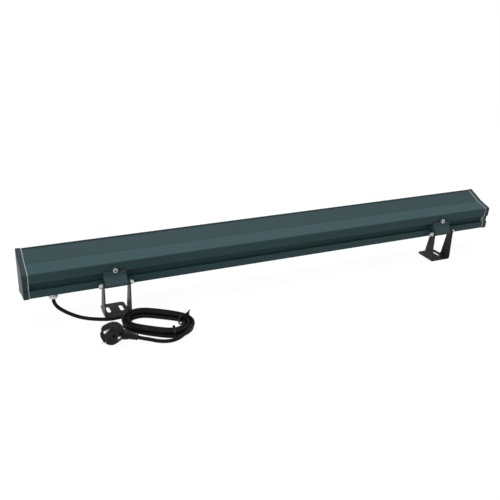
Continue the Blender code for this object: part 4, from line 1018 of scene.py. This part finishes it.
def coilPoint(turn):
    # centre of the cord after a number of turns: an oval spiral in, up a layer and out
    angle = math.radians(lead["entry"]) - math.tau * turn
    past = turn - lead["climbStart"]
    climb = min(max(past / lead["climbTurns"], 0.0), 1.0)
    if past < 0.0:
        lanes = turn
    elif climb < 1.0:
        lanes = lead["climbStart"] + past - past ** 2 / lead["climbTurns"]
    else:
        lanes = lead["climbStart"] - (past - lead["climbTurns"])
    radius = lead["loop"] - lead["lane"] * lanes
    push = lead["straight"] * math.tanh(lead["flatness"] * math.cos(angle)) / math.tanh(lead["flatness"])
    a = push + radius * math.cos(angle)
    b = radius * math.sin(angle)
    lean = math.radians(lead["turned"])
    cos, sin = math.cos(lean), math.sin(lean)
    height = lead["coilZ"] + lead["lane"] * climb * climb * (3 - 2 * climb)
    return Vector((lead["centre"][0] + a * cos - b * sin, lead["centre"][1] + a * sin + b * cos, height))


def coilDirection(turn):
    way = coilPoint(turn + 0.001) - coilPoint(turn - 0.001)
    return Vector((way.x, way.y, 0.0)).normalized()


def smoothRoute(points):
    # even points on a smooth curve; the first and last lengths stay straight
    route = [Vector(p) for p in points]
    fine = []
    for n in range(1, len(route) - 2):
        a, b, c, d = route[n - 1:n + 3]
        for k in range(16):
            t = k / 16
            spot = 2 * b + (c - a) * t
            spot += (2 * a - 5 * b + 4 * c - d) * t ** 2
            spot += (3 * b - a - 3 * c + d) * t ** 3
            fine.append(0.5 * spot)
    fine.append(route[-2])
    lengths = [0.0]
    for before, after in zip(fine, fine[1:]):
        lengths.append(lengths[-1] + (after - before).length)
    count = max(2, round(lengths[-1] / lead["step"]))
    even, n = [], 0
    for k in range(count + 1):
        want = lengths[-1] * k / count
        while n < len(lengths) - 2 and lengths[n + 1] < want:
            n += 1
        share = min(1.0, (want - lengths[n]) / (lengths[n + 1] - lengths[n]))
        even.append(fine[n].lerp(fine[n + 1], share))
    return [route[0], *even, route[-1]]


def plugAxes():
    return axesAt(plug["centre"], plug["facing"], plug["exit"])


def neckAxes(along):
    # on the plug's neck, which leans back from the face; +Z towards the cord
    out = Vector(plug["exit"]).normalized()
    return axesAt(plugAxes() @ Vector(plug["neckRoot"]) + out * along, out, plug["facing"])


def cordPath():
    exitAxes = barMatrix @ glandAxes()
    r = lead["radius"]
    start = exitAxes @ Vector((0, 0, gland["exit"] - 1.2 * mm))
    straight = exitAxes @ Vector((0, 0, gland["exit"] + 1.5 * r))
    count = round(lead["turns"] * lead["pointsPerTurn"])
    loops = [coilPoint(n / lead["pointsPerTurn"]) for n in range(count + 1)]
    entryWay = coilDirection(0.0)
    exitWay = coilDirection(lead["turns"])
    before = loops[0] - entryWay * 4 * r
    first = loops[0] - entryWay * 2 * r
    leadPoints = smoothRoute([start, straight, *leadRoute, before, first])
    inside = plug["sleeveEnd"] - 1.0 * mm
    sleeveEnd = neckAxes(inside).translation
    sleeveOut = neckAxes(inside + 2 * r).translation
    leave = loops[-1] + exitWay * 2 * r
    tail = [leave, leave + exitWay * 2 * r, *tailRoute, sleeveOut, sleeveEnd]
    return leadPoints + loops + smoothRoute(tail)


def makeCord(paint):
    points = cordPath()
    curve = bpy.data.curves.new("mainsLead", "CURVE")
    curve.dimensions = "3D"
    curve.bevel_depth = lead["radius"]
    curve.bevel_resolution = 4
    curve.use_fill_caps = True
    spline = curve.splines.new("POLY")
    spline.points.add(len(points) - 1)
    for target, point in zip(spline.points, points):
        target.co = (*point, 1.0)
    source = placed("mainsLeadCurve", curve)
    mesh = finalMesh(source)
    bpy.data.objects.remove(source)
    bm = bmesh.new()
    bm.from_mesh(mesh)
    bpy.data.meshes.remove(mesh)
    bmesh.ops.remove_doubles(bm, verts=bm.verts, dist=1e-6)
    cord = asObject("mainsLead", outwards(bm), paint)
    cord.data.shade_smooth()
    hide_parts("cord_lead", "cord_coil", "cord_tail")
    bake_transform(cord)
    length = sum((b - a).length for a, b in zip(points, points[1:]))
    return cord, points, length


def makeTies(paint):
    made = []
    half = ties["width"] / 2
    r = ties["bend"]
    clear = lead["radius"] + 0.25 * mm
    bottom = lead["coilZ"] - clear
    for n, angle in enumerate(ties["angles"]):
        firstTurn = (lead["entry"] - angle) / 360
        turns = [firstTurn + k for k in range(6) if firstTurn + k <= lead["turns"]]
        middle = coilPoint(turns[0])
        along = coilDirection(turns[0])
        across = Vector((0, 0, 1)).cross(along)
        offsets = [(coilPoint(turn) - middle).dot(across) for turn in turns]
        low, high = min(offsets) - clear - 0.5 * mm, max(offsets) + clear + 0.5 * mm
        top = max(coilPoint(turn).z for turn in turns) + clear

        def band(grow):
            return [
                *arcPoints((high - r, top - r), r + grow, 90, 0, 6),
                *arcPoints((high - r, bottom + r), r + grow, 0, -90, 6),
                *arcPoints((low + r, bottom + r), r + grow, -90, -180, 6),
                *arcPoints((low + r, top - r), r + grow, 180, 90, 6),
            ]

        ring = extrudeOutline(band(ties["thick"] - 0.25 * mm), -half, half, "X", [band(0.0)])
        # the head of the first tie and its tail are on the outer side of the loops
        headLow = high - 2.8 * mm if n == 0 else low - 1.4 * mm
        headWide = half + 0.5 * mm
        lowest = (-headWide, headLow, top - 3.4 * mm)
        shapes = [ring, softBox(lowest, (headWide, headLow + 4.2 * mm, top + 1.5 * mm), 0.5 * mm)]
        if n == 0:
            tail = softBox((-half * 0.8, 0, -0.5 * mm), (half * 0.8, 6.6 * mm, 0.5 * mm), 0.2 * mm)
            lean = Matrix.Rotation(math.radians(36), 4, "X")
            shapes.append(turned(tail, Matrix.Translation((0, high - 1.0 * mm, top + 0.6 * mm)) @ lean))
        turn = Matrix((along, across, (0, 0, 1))).transposed().to_4x4()
        bm = turned(gather(shapes), Matrix.Translation((middle.x, middle.y, 0)) @ turn)
        tie = asObject("cordTie" + str(n + 1), bm, paint)
        made.append(settle(tie, "left_bracket", ["cord_tie_" + str(n + 1)]))
    return made


def makePlug(bodyPaint, pinPaint):
    place = plugAxes()
    facing = plug["facing"]
    face = plug["face"]
    body = asObject("plugBody", ringStack(plug["body"], 72, place), bodyPaint)
    carve(body, [ringStack(plug["neck"], 40, neckAxes(0.0))], "UNION")

    start = plug["neckLength"] - 0.6 * mm
    pitch = (plug["sleeveEnd"] - start) / plug["ribs"]
    rings = [(5.4 * mm, -3 * mm), (5.4 * mm, 0)]
    for n in range(plug["ribs"]):
        wide = 7.0 * mm - n * 0.38 * mm
        waist = wide - 1.15 * mm
        low = n * pitch
        rings += [
            (wide - 0.35 * mm, low), (wide, low + 0.2 * pitch), (wide, low + 0.48 * pitch),
            (wide - 0.35 * mm, low + 0.62 * pitch), (waist, low + 0.66 * pitch), (waist, low + 0.96 * pitch),
        ]
    rings += [(wide - 1.3 * mm, plug["ribs"] * pitch)]
    sleeve = asObject("plugRelief", ringStack(rings, 32, neckAxes(start)), bodyPaint)

    cuts = []
    for sign in (-1, 1):
        spot = place @ Vector((0, sign * plug["pinSpacing"] / 2, face - 6 * mm))
        cuts.append(rod(plug["pinRadius"] + 0.2 * mm, 0, plug["holeDepth"], 24, axesAt(spot, facing)))
        notch = softBox(plug["notch"][0], plug["notch"][1], 0)
        cuts.append(turned(notch, place @ Matrix.Diagonal((sign, sign, 1, 1))))
    socket = place @ Vector((8.5 * mm, 0, face - 5 * mm))
    cuts.append(rod(plug["socket"], 0, plug["holeDepth"], 24, axesAt(socket, facing)))
    carve(body, cuts)
    roundEdges(body, plug["softEdge"], 40)
    settle(body, "left_bracket", ["plug_body"], 38)
    settle(sleeve, "left_bracket")

    pieces = [body, sleeve]
    r = plug["pinRadius"]
    length = plug["pinLength"] + 5.7 * mm
    rings = [
        (r, 0), (r, length - 2.0 * mm), (r * 0.94, length - 1.2 * mm),
        (r * 0.75, length - 0.5 * mm), (r * 0.45, length),
    ]
    for sign, pole in ((-1, "lower"), (1, "upper")):
        spot = place @ Vector((0, sign * plug["pinSpacing"] / 2, face - 5.7 * mm))
        pin = asObject("plugPin" + pole.capitalize(), ringStack(rings, 28, axesAt(spot, facing)), pinPaint)
        pieces.append(settle(pin, "left_bracket", ["plug_pin_" + pole]))
    strip = extrudeOutline(plug["strip"], -2.0 * mm, 2.0 * mm, "Y")
    softened(strip, strip.edges[:], 0.25 * mm)
    strip = asObject("plugEarthStrip", turned(strip, place), pinPaint)
    pieces.append(settle(strip, "left_bracket", ["plug_earth_strip"]))
    return pieces


def paintNode(node, paint):
    # a piece that keeps its solid's shape
    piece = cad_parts[node]
    piece.data.materials.clear()
    piece.data.materials.append(paint)


def makeStage():
    white = (1, 1, 1, 1)
    world = bpy.data.worlds.new("studio")
    bpy.context.scene.world = world
    world.use_nodes = True
    sky = NodeTree(world.node_tree)
    light = {"Color": view["skyColour"], "Strength": view["skyStrength"]}
    dim = sky.wired(sky.nodes["Background"], light)
    bright = sky.add("ShaderNodeBackground", {}, {"Color": white, "Strength": 1.0})
    sky.close("World Output", sky.whiteRays(), dim, bright)

    bm = bmesh.new()
    bmesh.ops.create_grid(bm, x_segments=1, y_segments=1, size=view["floorSize"] / 2)
    paint = Paint("floorPaint", Roughness=0.9, Metallic=0.0)
    paint.put("Base Color", view["floorColour"])
    glow = paint.add("ShaderNodeEmission", {}, {"Color": white, "Strength": view["glowStrength"]})
    share = paint.whiteRays() * view["floorGlow"]
    paint.close("Material Output", share, paint.wired(paint.shader, {}), glow)
    asObject("floor", bm, paint.material)


# Make everything

bpy.context.scene.view_settings.view_transform = "Standard"
setCamera()
makeStage()
for lampName in ("topLamp", "sideLamp", "backLamp"):
    addLamp(lampName)
print("stage: camera, floor and lamps")

plugPaint = moulded("plugVinyl", rgb(0.006, 0.006, 0.007), 0.38, gloss=0.15)
tiePaint = moulded("tieNylon", rgb(0.006, 0.006, 0.006), 0.32, gloss=0.2)
pinPaint = plainMetal("pinNickel", rgb(0.78, 0.77, 0.74), 0.20)
cord, cordPoints, cordLength = makeCord(rubberSheath())
tiePieces = makeTies(tiePaint)
plugPieces = makePlug(plugPaint, pinPaint)
print("lead: %.2f m from the gland to the plug" % cordLength)

coatPaints = {name: powderCoat(name + "Coat", tone) for name, tone in coats.items()}
screwPaint = plainMetal("brightZinc", rgb(0.56, 0.57, 0.59), 0.36, metallic=0.85)
glandPaint = plainMetal("glandNickel", rgb(0.60, 0.61, 0.62), 0.36, metallic=0.9)
siliconePaint = moulded("gasketSilicone", rgb(0.31, 0.37, 0.39), 0.5, 0.001, 0.00005)
sealPaint = moulded("blackSeal", rgb(0.012, 0.012, 0.013), 0.6)
makeHousing(coatPaints["housing"])
for side in (-1, 1):
    makeEnd(side, coatPaints["cap"], siliconePaint, screwPaint)
makeRails(coatPaints["rail"])
makeGland(glandPaint)
print("bar: housing, ends, rails and gland")

maskPaint = solderMask()
packagePaint = moulded("packageWhite", rgb(0.78, 0.78, 0.75), 0.35)
phosphorPaint = moulded("phosphor", rgb(0.86, 0.62, 0.10), 0.3)
makeLights(maskPaint, packagePaint, phosphorPaint, clearAcrylic(), screwPaint)
paintNode("front_glass", paneGlass())
print("light engine: boards, lenses and glass")

# dark paint for the inside of the lock screws' sockets: painted shade in the hollow
socketShadePaint = plainMetal("socketShade", rgb(0.05, 0.05, 0.055), 0.5, metallic=0.5)
makeClamp("Left", leftX, "light_bar", coatPaints["saddle"], screwPaint, socketShadePaint)
makeClamp("Right", rightX, "right_clamp", coatPaints["saddle"], screwPaint, socketShadePaint)
makeFoot("Left", leftX, "left_bracket", coatPaints["foot"])
makeFoot("Right", rightX, "right_foot", coatPaints["foot"])
print("clamps and feet")

innerPaints = {
    "driver_case": plainMetal("driverSheet", rgb(0.62, 0.63, 0.64), 0.35),
    "driver_board": moulded("boardGreen", rgb(0.03, 0.16, 0.06), 0.4),
    "wire_live": moulded("coreBrown", rgb(0.14, 0.06, 0.03), 0.4),
    "wire_neutral": moulded("coreBlue", rgb(0.03, 0.10, 0.35), 0.4),
    "wire_earth": moulded("coreGreen", rgb(0.20, 0.35, 0.04), 0.4),
    "led_lead": moulded("flatRed", rgb(0.45, 0.04, 0.03), 0.4),
}
for node, paint in innerPaints.items():
    paintNode(node, paint)
paintNode("driver_lid", innerPaints["driver_case"])
paintNode("driver_pad", siliconePaint)
for node in ("glass_seal", "wire_grommet", "gland_washer", "gland_seal"):
    paintNode(node, sealPaint)
for node in ("earth_screw", "gland_locknut"):
    paintNode(node, screwPaint)
print("inner pieces painted")
